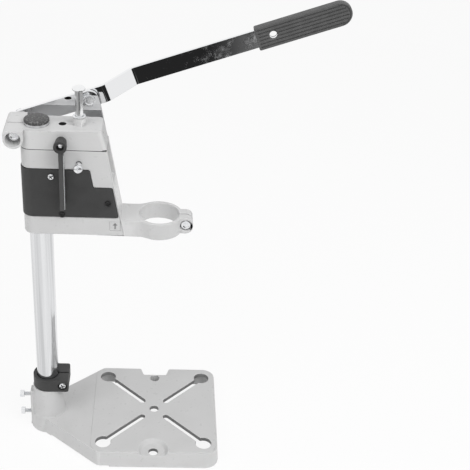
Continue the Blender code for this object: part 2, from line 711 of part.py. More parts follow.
def make_base():
    hollow = rounded(drawn_in(plate_outline(), SKIRT))
    foot = rounded(drawn_in(plate_outline(), -SKIRT_DRAFT))
    casting = loft("base_casting", [(0, foot), (RIM_FACE, rounded(plate_outline()))])
    underside = WORK_FACE - PLATE_THICKNESS
    recess_floor = WORK_FACE - RECESS_DEPTH
    join(casting, prism("base_pad", [pad_outline()], "Z", underside, WORK_FACE))
    cut(casting, prism("base_hollow", [hollow], "Z", -OVERRUN, underside))
    socket_foot = SOCKET_RADIUS + SOCKET_TAPER
    flare_z = RIM_FACE + SOCKET_FLARE
    flare_radius = SOCKET_RADIUS + SOCKET_TAPER * (1 - flare_z / SOCKET_TOP)
    join(
        casting,
        turned(
            "base_socket",
            [
                (0, SOCKET_TOP),
                (SOCKET_RADIUS, SOCKET_TOP),
                (flare_radius, flare_z),
                (flare_radius + SOCKET_FLARE / 2, RIM_FACE),
                (socket_foot, underside),
                (socket_foot, 0),
                (0, 0),
            ],
            "Z",
            (0, 0, 0),
            FINE,
        ),
        box(
            "base_screw_pad",
            (-SCREW_PAD_X, -TUBE_RADIUS),
            (-SCREW_PAD_HALF_WIDTH, SCREW_PAD_HALF_WIDTH),
            (0, SOCKET_TOP - SCREW_PAD_DROP),
        ),
        rod(
            "base_rear_boss",
            BENCH_HOLE_RADIUS + BENCH_BOSS_WALL,
            "Z",
            0,
            underside + OVERLAP,
            (THROAT, REAR_HOLE_Y, 0),
        ),
        box(
            "base_front_block",
            (THROAT - RECESS_RIM - SKIRT, THROAT + RECESS_RIM + SKIRT),
            (-HALF_WIDTH + OVERLAP, RECESS_RIM + SKIRT - FRONT_HOLE_Y),
            (recess_floor - RECESS_FLOOR_THICKNESS, underside + OVERLAP),
        ),
    )
    for side in (-1, 1):
        middle = side * RIB_SPREAD
        join(
            casting,
            box(
                "base_rib",
                (TUBE_RADIUS, PAD_REAR),
                (middle - RIB_THICKNESS / 2, middle + RIB_THICKNESS / 2),
                (RIB_FOOT, underside + OVERLAP),
            ),
        )
    spread = (RECESS_RIM - RECESS_FLOOR_RADIUS) / RECESS_DEPTH
    recess = loft(
        "base_recess",
        [
            (recess_floor, recess_outline(RECESS_FLOOR_RADIUS)),
            (WORK_FACE + OVERRUN, recess_outline(RECESS_RIM + spread * OVERRUN)),
        ],
    )
    cut(casting, recess)
    slots = [keyhole(side_x, side_y) for side_x in (-1, 1) for side_y in (-1, 1)]
    holes = [
        circle((THROAT, 0), CENTRE_HOLE_RADIUS, MEDIUM),
        circle((THROAT, REAR_HOLE_Y), BENCH_HOLE_RADIUS, MEDIUM),
        circle((THROAT, -FRONT_HOLE_Y), BENCH_HOLE_RADIUS, MEDIUM),
    ]
    cut(casting, prism("base_slots_and_holes", slots + holes, "Z", -OVERRUN, WORK_FACE + OVERRUN))
    cut(casting, rod("base_bore", SOCKET_BORE, "Z", TUBE_FLOOR, SOCKET_TOP + OVERRUN, (0, 0, 0), FINE))
    for side in (-1, 1):
        edges = sorted((side * (SOCKET_RADIUS + SOCKET_TAPER + OVERLAP), side * (HALF_WIDTH + OVERRUN)))
        cut(casting, box("base_relief", (RELIEF_REAR, RELIEF_FRONT), edges, (-OVERRUN, RELIEF_HEIGHT)))
    for height in LOCK_SCREWS.values():
        hole = (-SCREW_PAD_X - OVERRUN, -TUBE_RADIUS + TUBE_WALL)
        cut(casting, rod("base_screw_hole", LOCK_SCREW_RADIUS + GAP, "X", *hole, (0, 0, height), COARSE))
    part(casting, "base_casting", "cast_paint")
    head_x = -SCREW_PAD_X - LOCK_SCREW_SHOWN
    length = -head_x - SOCKET_BORE
    for name, height in LOCK_SCREWS.items():
        screw = turned(
            "base_lock_screw",
            [
                (0, 0),
                (LOCK_SCREW_RADIUS, 0),
                (LOCK_SCREW_RADIUS, -length),
                (LOCK_HEAD_RADIUS, -length),
                (LOCK_HEAD_RADIUS, -length - LOCK_HEAD_HEIGHT),
                (0, -length - LOCK_HEAD_HEIGHT),
            ],
            "X",
            (-SOCKET_BORE, 0, height),
            COARSE,
        )
        part(screw, f"base_lock_screw_{name}", "zinc")


# Column and stop collar

def make_column():
    pivot = pivot_at("column_pivot", (0, 0, 0))
    inner = TUBE_RADIUS - TUBE_WALL
    tube = ring("tube", inner, TUBE_RADIUS, "Z", TUBE_FLOOR + GAP, TUBE_TOP, (0, 0, 0), FINE)
    part(tube, "column_tube", "chrome", pivot)
    seat = TUBE_TOP + GAP
    stem = inner - GAP
    plug = turned(
        "plug",
        [
            (0, seat + PLUG_DISC + PLUG_CROWN),
            (TUBE_RADIUS * 2 / 3, seat + PLUG_DISC + PLUG_CROWN * 2 / 3),
            (TUBE_RADIUS - PLUG_EDGE, seat + PLUG_DISC),
            (TUBE_RADIUS, seat + PLUG_DISC - PLUG_EDGE),
            (TUBE_RADIUS, seat),
            (stem, seat),
            (stem, seat - PLUG_STEM),
            (0, seat - PLUG_STEM),
        ],
        "Z",
        (0, 0, 0),
        FINE,
    )
    part(plug, "column_plug", "black_plastic", pivot)


def make_stop_collar():
    pivot = pivot_at("stop_collar_pivot", (0, 0, STOP_BASE))
    back = [(x, y, 0) for x, y in arc((0, 0), STOP_RADIUS, 90, 270, MEDIUM // 2)]
    corners = [(STOP_LENGTH, -STOP_RADIUS, STOP_CORNER), (STOP_LENGTH, STOP_RADIUS, STOP_CORNER)]
    outline = rounded(back + corners)
    top = STOP_BASE + STOP_HEIGHT
    bore = circle((0, 0), SOCKET_BORE, FINE)
    collar = prism("collar", [outline, bore], "Z", STOP_BASE, top)
    place = (STOP_SCREW_X, 0, (STOP_BASE + top) / 2)
    half_slit = STOP_SLIT / 2
    cut(
        collar,
        box(
            "collar_slit",
            (TUBE_RADIUS - TUBE_WALL, STOP_LENGTH + OVERRUN),
            (-half_slit, half_slit),
            (STOP_BASE - OVERRUN, top + OVERRUN),
        ),
        stepped_hole(
            "collar_screw_hole",
            STOP_SCREW_RADIUS + GAP,
            STOP_SINK_RADIUS,
            -STOP_RADIUS,
            STOP_SINK,
            STOP_RADIUS,
            place,
        ),
    )
    part(collar, "stop_collar", "black_plastic", pivot)
    head_y = STOP_SINK - GAP - STOP_RADIUS
    seat = STOP_RADIUS + GAP
    screw = pan_screw(
        "collar_screw",
        STOP_HEAD_RADIUS,
        STOP_HEAD_HEIGHT,
        STOP_SCREW_RADIUS,
        seat + STOP_NUT_HEIGHT - head_y,
        (place[0], head_y, place[2]),
    )
    part(screw, "stop_collar_screw", "zinc", pivot)
    nut_place = (place[0], seat, place[2])
    nut = hex_nut("collar_nut", STOP_NUT_FLATS, STOP_NUT_HEIGHT, STOP_SCREW_RADIUS, "Y", nut_place)
    part(nut, "stop_collar_nut", "zinc", pivot)


# Bracket

def spring_pin(name, z, far, pivot):
    """A cross pin for the spring, put in from the far side, and the hole it sits in."""
    place = (SPRING_X, 0, z)
    pin = rod("pin", SPRING_PIN_RADIUS, "Y", -SPRING_PIN_REACH, far - SPRING_PIN_SHORT, place, COARSE)
    part(pin, name, "zinc", pivot)
    hole_end = -SPRING_PIN_REACH - GAP
    return rod(name + "_hole", SPRING_PIN_RADIUS + GAP, "Y", hole_end, far + OVERRUN, place, COARSE)


def clamp_outline():
    """The clamp's ears from the front: round below the bolt, square up to the bracket's top."""
    below = [(x, z, 0) for x, z in arc((-CLAMP_BACK, CLAMP_Z), CLAMP_BOSS_RADIUS, 180, 360, FINE // 2)]
    corners = [
        (CLAMP_BOSS_RADIUS - CLAMP_BACK, HEAD_TOP, 0),
        (-CLAMP_BOSS_RADIUS - CLAMP_BACK, HEAD_TOP, CLAMP_CORNER),
    ]
    return rounded(below + corners)


def make_bracket(pivot):
    bracket = loft(
        "bracket",
        [
            (BRACKET_BASE, head_outline(HEAD_HALF_WIDTH, front_at(BRACKET_BASE))),
            (HEAD_TOP, head_outline(HEAD_HALF_WIDTH, front_at(HEAD_TOP))),
        ],
    )
    whole = (BRACKET_BASE - OVERRUN, HEAD_TOP + OVERRUN)
    join(
        bracket,
        prism("bracket_clamp_ears", [clamp_outline()], "Y", -CLAMP_BOSS_NEAR, CLAMP_BOSS_FAR),
        rod(
            "bracket_clamp_spigot",
            CLAMP_SPIGOT_RADIUS,
            "Y",
            CLAMP_BOSS_FAR - OVERLAP,
            LEVER_NEAR - GAP,
            CLAMP_POINT,
        ),
        rod(
            "bracket_rod_boss",
            ROD_BOSS_RADIUS,
            "Z",
            HEAD_TOP - OVERLAP,
            HEAD_TOP + ROD_BOSS_HEIGHT,
            (ROD_X, 0, 0),
        ),
    )
    half_slit = CLAMP_SLIT / 2
    holder_end = -HEAD_HALF_WIDTH + HOLDER_SPIGOT + GAP
    cut(
        bracket,
        rod("bracket_bore", SOCKET_BORE, "Z", *whole, (0, 0, 0), FINE),
        box(
            "bracket_slit",
            (-CLAMP_BACK - CLAMP_BOSS_RADIUS - OVERRUN, -TUBE_RADIUS + TUBE_WALL),
            (-half_slit, half_slit),
            whole,
        ),
        rod(
            "bracket_spring_bore",
            SPRING_BORE_RADIUS,
            "Z",
            BRACKET_BASE - OVERRUN,
            HEAD_TOP - SPRING_ROOF,
            (SPRING_X, 0, 0),
        ),
        rod("bracket_top_hole", SPRING_HOLE_RADIUS, "Z", *whole, (SPRING_X, 0, 0), COARSE),
        stepped_hole(
            "bracket_clamp_hole",
            CLAMP_BOLT_RADIUS + GAP,
            CLAMP_SINK_RADIUS,
            -CLAMP_BOSS_NEAR,
            CLAMP_SINK,
            LEVER_NEAR,
            CLAMP_POINT,
        ),
        rod(
            "bracket_rod_bore",
            ROD_RADIUS + GAP,
            "Z",
            BRACKET_BASE - OVERRUN,
            HEAD_TOP + ROD_BOSS_HEIGHT + OVERRUN,
            (ROD_X, 0, 0),
        ),
        rod(
            "bracket_holder_socket",
            HOLDER_SPIGOT_RADIUS + GAP,
            "Y",
            -HEAD_HALF_WIDTH - OVERRUN,
            holder_end,
            (SPRING_X, 0, HOLDER_Z),
            COARSE,
        ),
        spring_pin("spring_pin_upper", HEAD_TOP - SPRING_PIN_DROP, HEAD_HALF_WIDTH, pivot),
    )
    part(bracket, "upper_bracket", "cast_paint", pivot)
    washer_z = HEAD_TOP + ROD_BOSS_HEIGHT + GAP
    washer = ring(
        "rod_washer",
        ROD_RADIUS + GAP,
        ROD_WASHER_RADIUS,
        "Z",
        washer_z,
        washer_z + ROD_WASHER_HEIGHT,
        (ROD_X, 0, 0),
    )
    part(washer, "depth_stop_washer", "zinc", pivot)
    make_clamp_bolt(pivot)
    make_scale(pivot)


def make_clamp_bolt(pivot):
    """The bolt that closes the ears round the column and carries the lever at its far end."""
    washer_y = LEVER_FAR + GAP
    nut_y = washer_y + LEVER_WASHER_HEIGHT + GAP
    head_y = -CLAMP_BOSS_NEAR + CLAMP_SINK - GAP
    length = nut_y + LEVER_NUT_HEIGHT + CLAMP_THREAD_SHOWN - head_y
    place = CLAMP_POINT + Vector((0, head_y, 0))
    head = hexagon("clamp_head", CLAMP_HEAD_FLATS, "Y", -CLAMP_HEAD_HEIGHT, 0, place)
    join(head, rod("clamp_shank", CLAMP_BOLT_RADIUS, "Y", -OVERLAP, length, place))
    part(head, "clamp_bolt", "zinc", pivot)
    inner = CLAMP_BOLT_RADIUS + GAP
    washer = ring(
        "lever_washer",
        inner,
        LEVER_WASHER_RADIUS,
        "Y",
        washer_y,
        washer_y + LEVER_WASHER_HEIGHT,
        CLAMP_POINT,
    )
    part(washer, "lever_washer", "zinc", pivot)
    nut_place = CLAMP_POINT + Vector((0, nut_y, 0))
    nut = hex_nut("lever_nut", CLAMP_HEAD_FLATS, LEVER_NUT_HEIGHT, CLAMP_BOLT_RADIUS, "Y", nut_place)
    part(nut, "lever_nut", "zinc", pivot)


def make_scale(pivot):
    """The depth scale hangs in front of the carriage from a holder on the bracket."""
    root = -HEAD_HALF_WIDTH - GAP
    face = root - HOLDER_LENGTH
    place = (SPRING_X, 0, HOLDER_Z)
    holder = turned(
        "holder",
        [
            (0, root + HOLDER_SPIGOT),
            (HOLDER_SPIGOT_RADIUS, root + HOLDER_SPIGOT),
            (HOLDER_SPIGOT_RADIUS, root),
            (HOLDER_ROOT_RADIUS, root),
            (HOLDER_FACE_RADIUS, face + HOLDER_LENGTH / 4),
            (HOLDER_FACE_RADIUS, face),
            (HOLDER_POCKET_RADIUS, face),
            (HOLDER_POCKET_RADIUS, face + HOLDER_POCKET),
            (0, face + HOLDER_POCKET),
        ],
        "Y",
        place,
    )
    scale_far = -HEAD_HALF_WIDTH - SCALE_STAND_OFF
    scale_near = scale_far - SCALE_WIDTH
    half = SCALE_THICKNESS / 2
    holder_foot = HOLDER_Z - HOLDER_FACE_RADIUS
    scale_top = holder_foot + SCALE_SOCKET
    scale_foot = holder_foot - SCALE_LENGTH
    cut(
        holder,
        box(
            "holder_slot",
            (SPRING_X - half - GAP, SPRING_X + half + GAP),
            (scale_near - GAP, scale_far + GAP),
            (holder_foot - OVERRUN, scale_top + GAP),
        ),
    )
    part(holder, "scale_holder", "black_plastic", pivot)
    screw_low = face + HOLDER_POCKET - GAP - HOLDER_SCREW_HEIGHT
    screw = rod(
        "holder_screw",
        HOLDER_POCKET_RADIUS - GAP,
        "Y",
        screw_low,
        screw_low + HOLDER_SCREW_HEIGHT,
        place,
        COARSE,
    )
    part(screw, "scale_holder_screw", "black_steel", pivot)
    bar = box(
        "scale",
        (SPRING_X - half, SPRING_X + half),
        (scale_near, scale_far),
        (scale_foot, scale_top),
    )
    part(bar, "scale_bar", "black_plastic", pivot)
    strip_x = SPRING_X + half + GAP
    strip = box(
        "strip",
        (strip_x, strip_x + STRIP_THICKNESS),
        (scale_near + STRIP_MARGIN, scale_far - STRIP_MARGIN),
        (scale_foot + STRIP_MARGIN, holder_foot - STRIP_HEADROOM),
    )
    part(strip, "scale_strip", "scale_metal", pivot)


def make_return_spring(pivot):
    """One tube of wire from the bracket's cross pin down to the carriage's, in formula-made curls."""
    low = CARRIAGE_BASE + SPRING_FOOT + SPRING_PIN_RADIUS + GAP + COIL_WIRE_RADIUS
    high = HEAD_TOP - SPRING_PIN_DROP - SPRING_PIN_RADIUS - GAP - COIL_WIRE_RADIUS
    count = COIL_CURLS * POINTS_PER_CURL
    points = []
    for i in range(count + 1):
        share = i / count
        fade = min(1, share * COIL_CURLS, (1 - share) * COIL_CURLS)
        reach = COIL_RADIUS * sin(fade * pi / 2)
        angle = 2 * pi * i / POINTS_PER_CURL
        place = (SPRING_X + reach * cos(angle), reach * sin(angle), low + (high - low) * share)
        points.append(Vector(place))
    curve = bpy.data.curves.new("return_spring", "CURVE")
    curve.dimensions = "3D"
    curve.bevel_depth = COIL_WIRE_RADIUS
    curve.bevel_resolution = 1
    curve.use_fill_caps = True
    spline = curve.splines.new("POLY")
    spline.points.add(count)
    for point, place in zip(spline.points, points):
        point.co = (*place, 1)
    obj = bpy.data.objects.new("return_spring", curve)
    stand.objects.link(obj)
    give_finish(obj, "spring_steel")
    obj.parent = pivot
    obj.matrix_parent_inverse = pivot.matrix_world.inverted()
    apart = POINTS_PER_CURL // 2
    nearest = min((a - b).length for i, a in enumerate(points) for b in points[i + apart:])
    gap = nearest - 2 * COIL_WIRE_RADIUS
    print(f"return spring: least gap between curls {gap / MM:.2f} mm")


# Carriage

def arm_outline():
    """Arm and collar from above: straight sides that flow into the ring in fillets."""
    outer = SEAT_RADIUS + SEAT_WALL
    rise = ARM_HALF_WIDTH + ARM_FILLET
    back = sqrt((outer + ARM_FILLET) ** 2 - rise**2)
    swing = degrees(atan2(rise, back))
    middle = (THROAT, 0)
    low = arc((THROAT - back, -rise), ARM_FILLET, 90, swing, 4)
    high = arc((THROAT - back, rise), ARM_FILLET, -swing, -90, 4)
    round_end = arc(middle, outer, swing - 180, 180 - swing, FINE)
    return [(ARM_ROOT, -ARM_HALF_WIDTH)] + low + round_end[1:-1] + high + [(ARM_ROOT, ARM_HALF_WIDTH)]


def cover_outline(shrink):
    """The side cover's outline in the X-Z plane, open to the rear, drawn in by a clearance."""
    rear = -HEAD_HALF_WIDTH - OVERRUN
    base = CARRIAGE_BASE
    corners = [
        (rear, base + COVER_BASE, 0),
        (COVER_BASE_FRONT, base + COVER_BASE, COVER_CORNER),
        (COVER_STEP_FRONT, base + COVER_STEP, COVER_CORNER),
        (COVER_STEP_REAR, base + COVER_STEP, COVER_CORNER),
        (COVER_TOP_FRONT, base + COVER_TOP, COVER_CORNER),
        (rear, base + COVER_TOP, 0),
    ]
    return rounded(drawn_in(corners, shrink), 3)


def core(name, half_width):
    """What stays of the head inside a given half width."""
    low = CARRIAGE_BASE + COVER_BASE - OVERRUN
    high = CARRIAGE_BASE + COVER_TOP + OVERRUN
    outline = head_outline(half_width, front_at(low) + OVERRUN)
    return loft(name, [(low, outline), (high, outline)])


def make_carriage(pivot):
    sections = []
    for lift in (0, 45, 90):
        shrink = HEEL_ROUND * (1 - sin(radians(lift)))
        z = CARRIAGE_BASE + HEEL_ROUND * (1 - cos(radians(lift)))
        sections.append((z, head_outline(HEAD_HALF_WIDTH - shrink, front_at(z))))
    sections.append((CARRIAGE_TOP, head_outline(HEAD_HALF_WIDTH, front_at(CARRIAGE_TOP))))
    casting = loft("carriage", sections)
    ear_place = (THROAT + EAR_X, 0, ARM_MIDDLE)
    ears = rounded([
        (THROAT + SEAT_RADIUS, CARRIAGE_BASE, 0),
        (THROAT + EAR_REACH, CARRIAGE_BASE, EAR_CORNER),
        (THROAT + EAR_REACH, ARM_TOP, EAR_CORNER),
        (THROAT + SEAT_RADIUS, ARM_TOP, 0),
    ])
    join(
        casting,
        prism("carriage_arm", [arm_outline()], "Z", CARRIAGE_BASE, ARM_TOP),
        prism("carriage_ears", [ears], "Y", -EAR_HALF_WIDTH, EAR_HALF_WIDTH),
    )
    cut_carriage_bores(casting, pivot)
    cut_carriage_arm(casting, ear_place)
    reach = (-COVER_CUTTER_REACH, COVER_CUTTER_REACH)
    zone = prism("carriage_cover_zone", [cover_outline(0)], "Y", *reach)
    cut(zone, core("carriage_cover_core", COVER_SEAT))
    cut(casting, zone)
    screw_depth = HEAD_HALF_WIDTH + COVER_PROUD - COVER_SCREW_LENGTH - GAP
    for x, rise in COVER_SCREWS.values():
        for side in (-1, 1):
            span = sorted((side * screw_depth, side * (HEAD_HALF_WIDTH + OVERRUN)))
            place = (x, 0, CARRIAGE_BASE + rise)
            cut(casting, rod("carriage_screw_hole", COVER_SCREW_RADIUS + GAP, "Y", *span, place, COARSE))
    part(casting, "carriage_casting", "cast_paint", pivot)
    make_bushes(pivot)
    make_covers(pivot)
    make_ear_bolt(pivot, ear_place)
    screw = pan_screw(
        "rod_lock",
        ROD_SCREW_HEAD_RADIUS,
        ROD_SCREW_HEAD_HEIGHT,
        ROD_SCREW_RADIUS,
        HEAD_HALF_WIDTH + ROD_SCREW_SHOWN - ROD_RADIUS - GAP,
        (ROD_X, -HEAD_HALF_WIDTH - ROD_SCREW_SHOWN, ROD_SCREW_Z),
    )
    part(screw, "rod_lock_screw", "zinc", pivot)
    pin = turned(
        "link_lower_pin",
        [
            (0, LINK_FAR + GAP + LINK_END_HEIGHT),
            (LINK_END_RADIUS, LINK_FAR + GAP + LINK_END_HEIGHT),
            (LINK_END_RADIUS, LINK_FAR + GAP),
            (LINK_PIN_RADIUS, LINK_FAR + GAP),
            (LINK_PIN_RADIUS, LINK_NEAR - GAP),
            (LINK_SHOULDER_RADIUS, LINK_NEAR - GAP),
            (LINK_SHOULDER_RADIUS, HEAD_HALF_WIDTH + GAP),
            (LINK_PIN_RADIUS, HEAD_HALF_WIDTH + GAP),
            (LINK_PIN_RADIUS, HEAD_HALF_WIDTH - LINK_PIN_DEPTH),
            (0, HEAD_HALF_WIDTH - LINK_PIN_DEPTH),
        ],
        "Y",
        LINK_FOOT_POINT,
    )
    part(pin, "link_lower_pin", "zinc", pivot)


def cut_carriage_bores(casting, pivot):
    whole = (CARRIAGE_BASE - OVERRUN, CARRIAGE_TOP + OVERRUN)
    bush_depth = BUSH_LENGTH + 2 * GAP
    cut(
        casting,
        turned(
            "carriage_bore",
            [
                (0, whole[1]),
                (BUSH_BORE, whole[1]),
                (BUSH_BORE, CARRIAGE_TOP - bush_depth),
                (TUBE_RADIUS + BORE_RELIEF, CARRIAGE_TOP - bush_depth),
                (TUBE_RADIUS + BORE_RELIEF, CARRIAGE_BASE + bush_depth),
                (BUSH_BORE, CARRIAGE_BASE + bush_depth),
                (BUSH_BORE, whole[0]),
                (0, whole[0]),
            ],
            "Z",
            (0, 0, 0),
            FINE,
        ),
        rod(
            "carriage_spring_bore",
            SPRING_BORE_RADIUS,
            "Z",
            CARRIAGE_BASE + SPRING_FLOOR,
            whole[1],
            (SPRING_X, 0, 0),
        ),
        rod(
            "carriage_rod_bore",
            ROD_RADIUS + GAP,
            "Z",
            CARRIAGE_TOP - ROD_BORE_DEPTH,
            whole[1],
            (ROD_X, 0, 0),
        ),
        rod(
            "carriage_lock_hole",
            ROD_SCREW_RADIUS + GAP,
            "Y",
            -HEAD_HALF_WIDTH - OVERRUN,
            -ROD_RADIUS + OVERLAP,
            (ROD_X, 0, ROD_SCREW_Z),
            COARSE,
        ),
        rod(
            "carriage_link_hole",
            LINK_PIN_RADIUS + GAP,
            "Y",
            HEAD_HALF_WIDTH - LINK_PIN_DEPTH - GAP,
            HEAD_HALF_WIDTH + OVERRUN,
            LINK_FOOT_POINT,
        ),
        spring_pin("spring_pin_lower", CARRIAGE_BASE + SPRING_FOOT, COVER_SEAT, pivot),
    )
    foot = CARRIAGE_TOP - CHANNEL_LENGTH
    top = CARRIAGE_TOP + OVERRUN
    channel = [
        (front_at(foot) - CHANNEL_DEPTH, foot),
        (front_at(foot) + OVERRUN, foot),
        (front_at(top) + OVERRUN, top),
        (front_at(top) - CHANNEL_DEPTH, top),
    ]
    cut(casting, prism("carriage_channel", [channel], "Y", -CHANNEL_HALF_WIDTH, CHANNEL_HALF_WIDTH))
    pocket = [
        (POCKET_REAR, whole[0]),
        (POCKET_LOW_FRONT, whole[0]),
        (POCKET_LOW_FRONT, CARRIAGE_BASE + POCKET_LOW_HEIGHT),
        (POCKET_MID_FRONT, CARRIAGE_BASE + POCKET_MID_HEIGHT),
        (POCKET_TOP_FRONT, CARRIAGE_BASE + POCKET_TOP_HEIGHT),
        (POCKET_REAR, CARRIAGE_BASE + POCKET_TOP_HEIGHT),
    ]
    cut(casting, prism("carriage_pocket", [pocket], "Y", -POCKET_HALF_WIDTH, POCKET_HALF_WIDTH))


def cut_carriage_arm(casting, ear_place):
    whole = (CARRIAGE_BASE - OVERRUN, ARM_TOP + OVERRUN)
    half_slit = EAR_SLIT / 2
    ear_end = THROAT + EAR_REACH + OVERRUN
    cut(
        casting,
        rod("carriage_seat", SEAT_RADIUS, "Z", *whole, (THROAT, 0, 0), FINE),
        box("carriage_slit", (THROAT + SEAT_RADIUS - OVERRUN, ear_end), (-half_slit, half_slit), whole),
        stepped_hole(
            "carriage_ear_hole",
            EAR_BOLT_RADIUS + GAP,
            EAR_SINK_RADIUS,
            -EAR_HALF_WIDTH,
            EAR_SINK,
            EAR_HALF_WIDTH,
            ear_place,
        ),
        box(
            "carriage_mark",
            (MARK_REAR, MARK_REAR + MARK_SIZE),
            (-HEAD_HALF_WIDTH - OVERRUN, -HEAD_HALF_WIDTH + MARK_DEPTH),
            (CARRIAGE_BASE + MARK_RISE, CARRIAGE_BASE + MARK_RISE + MARK_SIZE),
        ),
    )


def make_bushes(pivot):
    inner = TUBE_RADIUS + RUNNING_GAP
    outer = inner + BUSH_WALL
    lows = {"upper": CARRIAGE_TOP - GAP - BUSH_LENGTH, "lower": CARRIAGE_BASE + GAP}
    for place, low in lows.items():
        bush = ring("bush", inner, outer, "Z", low, low + BUSH_LENGTH, (0, 0, 0), FINE)
        part(bush, f"column_bush_{place}", "bronze", pivot)


def make_covers(pivot):
    outer = HEAD_HALF_WIDTH + COVER_PROUD
    sides = {"front": -1, "far": 1}
    for name, side in sides.items():
        cover = prism("cover", [cover_outline(GAP)], "Y", -outer, outer)
        boolean(cover, "INTERSECT", core("cover_outside", outer))
        cut(cover, core("cover_inside", COVER_SEAT + GAP))
        other = sorted((side * GAP / 2, -side * COVER_CUTTER_REACH))
        low = CARRIAGE_BASE + COVER_BASE - OVERRUN
        high = CARRIAGE_BASE + COVER_TOP + OVERRUN
        cut(cover, box("cover_other_side", (-outer - OVERRUN, front_at(low) + OVERRUN), other, (low, high)))
        for spot, (x, rise) in COVER_SCREWS.items():
            place = Vector((x, side * outer, CARRIAGE_BASE + rise))
            hole = (-COVER_THICKNESS - OVERRUN, COVER_THICKNESS + OVERRUN)
            cut(cover, rod("cover_screw_hole", COVER_SCREW_RADIUS + GAP, "Y", *hole, place, COARSE))
            make_cover_screw(f"cover_screw_{name}_{spot}", place, side, pivot)
        part(cover, f"side_cover_{name}", "black_plastic", pivot)


def make_cover_screw(name, place, side, pivot):
    screw = pan_screw(
        name,
        COVER_SCREW_HEAD_RADIUS,
        COVER_SCREW_HEAD_HEIGHT,
        COVER_SCREW_RADIUS,
        COVER_SCREW_LENGTH,
        place + Vector((0, side * GAP, 0)),
        side,
    )
    part(screw, name, "black_steel", pivot)


def make_ear_bolt(pivot, ear_place):
    """The bolt that closes the collar round the drill's neck."""
    middle = Vector(ear_place)
    washer_y = EAR_HALF_WIDTH + GAP
    nut_y = washer_y + EAR_WASHER_HEIGHT + GAP
    head_y = -EAR_HALF_WIDTH + EAR_SINK - GAP
    length = nut_y + EAR_NUT_HEIGHT + EAR_THREAD_SHOWN - head_y
    place = middle + Vector((0, head_y, 0))
    bolt = hexagon("ear_head", EAR_HEAD_FLATS, "Y", -EAR_HEAD_HEIGHT, 0, place)
    join(bolt, rod("ear_shank", EAR_BOLT_RADIUS, "Y", -OVERLAP, length, place, COARSE))
    part(bolt, "collar_clamp_bolt", "zinc", pivot)
    washer = ring(
        "ear_washer",
        EAR_BOLT_RADIUS + GAP,
        EAR_WASHER_RADIUS,
        "Y",
        washer_y,
        washer_y + EAR_WASHER_HEIGHT,
        middle,
    )
    part(washer, "collar_clamp_washer", "zinc", pivot)
    nut_place = middle + Vector((0, nut_y, 0))
    nut = hex_nut("ear_nut", EAR_HEAD_FLATS, EAR_NUT_HEIGHT, EAR_BOLT_RADIUS, "Y", nut_place)
    part(nut, "collar_clamp_nut", "zinc", pivot)


# Depth stop rod

def make_depth_rod():
    pivot = pivot_at("depth_rod_pivot", (ROD_X, 0, ROD_HEAD_Z))
    place = (ROD_X, 0, ROD_HEAD_Z)
    rise = ROD_HEAD_HEIGHT - ROD_HEAD_RIM
    quarter = arc((0, 0), 1, 90, 0, ROD_HEAD_STEPS)[1:]
    dome = [(0, ROD_HEAD_HEIGHT)]
    dome += [(ROD_HEAD_RADIUS * across, ROD_HEAD_RIM + rise * up) for across, up in quarter]
    shank = [(ROD_HEAD_RADIUS, 0), (ROD_RADIUS, 0), (ROD_RADIUS, -ROD_LENGTH), (0, -ROD_LENGTH)]
    part(turned("rod", dome + shank, "Z", place), "depth_stop_rod", "zinc", pivot)


# Link and lever, drawn in the frames of their pivots

def make_link():
    across = LINK_HEAD_POINT - LINK_FOOT_POINT
    pivot = pivot_at("link_pivot", LINK_FOOT_POINT, atan2(across.x, across.z))
    plate = prism(
        "link",
        [stadium((0, 0), (0, LINK_LENGTH), LINK_RADIUS, COARSE)],
        "Y",
        LINK_NEAR,
        LINK_FAR,
    )
    span = (LINK_NEAR - OVERRUN, LINK_FAR + OVERRUN)
    holes = [
        rod("link_hole", LINK_PIN_RADIUS + GAP, "Y", *span, (0, 0, height))
        for height in (0, LINK_LENGTH)
    ]
    cut(plate, *holes)
    near = LINK_NEAR - GAP
    far = LEVER_FAR + GAP
    pin = turned(
        "link_pin",
        [
            (0, far + LINK_END_HEIGHT),
            (LINK_END_RADIUS, far + LINK_END_HEIGHT),
            (LINK_END_RADIUS, far),
            (LINK_PIN_RADIUS, far),
            (LINK_PIN_RADIUS, near),
            (LINK_HEAD_RADIUS, near),
            (LINK_HEAD_RADIUS, near - LINK_HEAD_HEIGHT),
            (0, near - LINK_HEAD_HEIGHT),
        ],
        "Y",
        (0, 0, LINK_LENGTH),
    )
    ride(pivot, plate, pin, *holes)
    part(plate, "link_plate", "chrome", pivot)
    part(pin, "link_upper_pin", "zinc", pivot)


def ribbon(path, thickness):
    """The outline of a strip of even thickness along an open path."""
    sides = ([], [])
    last = len(path) - 1
    for i, point in enumerate(path):
        here = Vector(point)
        before = (here - Vector(path[i - 1])).normalized() if i else None
        after = (Vector(path[i + 1]) - here).normalized() if i < last else None
        before = before or after
        after = after or before
        first = Vector((-before.y, before.x))
        second = Vector((-after.y, after.x))
        step = (first + second) * thickness / 2 / (1 + first.dot(second))
        sides[0].append(tuple(here - step))
        sides[1].append(tuple(here + step))
    return sides[0] + sides[1][::-1]


def joggled_path(start, end, near, far):
    """The lever's middle line from above: straight, a joggle away from the head, straight again."""
    bend = degrees(atan2(far - near, LEVER_JOGGLE_RUN))
    reach = LEVER_BEND_RADIUS * tan(radians(bend / 2))
    first_centre = (LEVER_JOGGLE_START - reach, near + LEVER_BEND_RADIUS)
    second_centre = (LEVER_JOGGLE_END + reach, far - LEVER_BEND_RADIUS)
    first = arc(first_centre, LEVER_BEND_RADIUS, -90, bend - 90, 3)
    second = arc(second_centre, LEVER_BEND_RADIUS, 90 + bend, 90, 3)
    return [(start, near)] + first + second + [(end, far)]


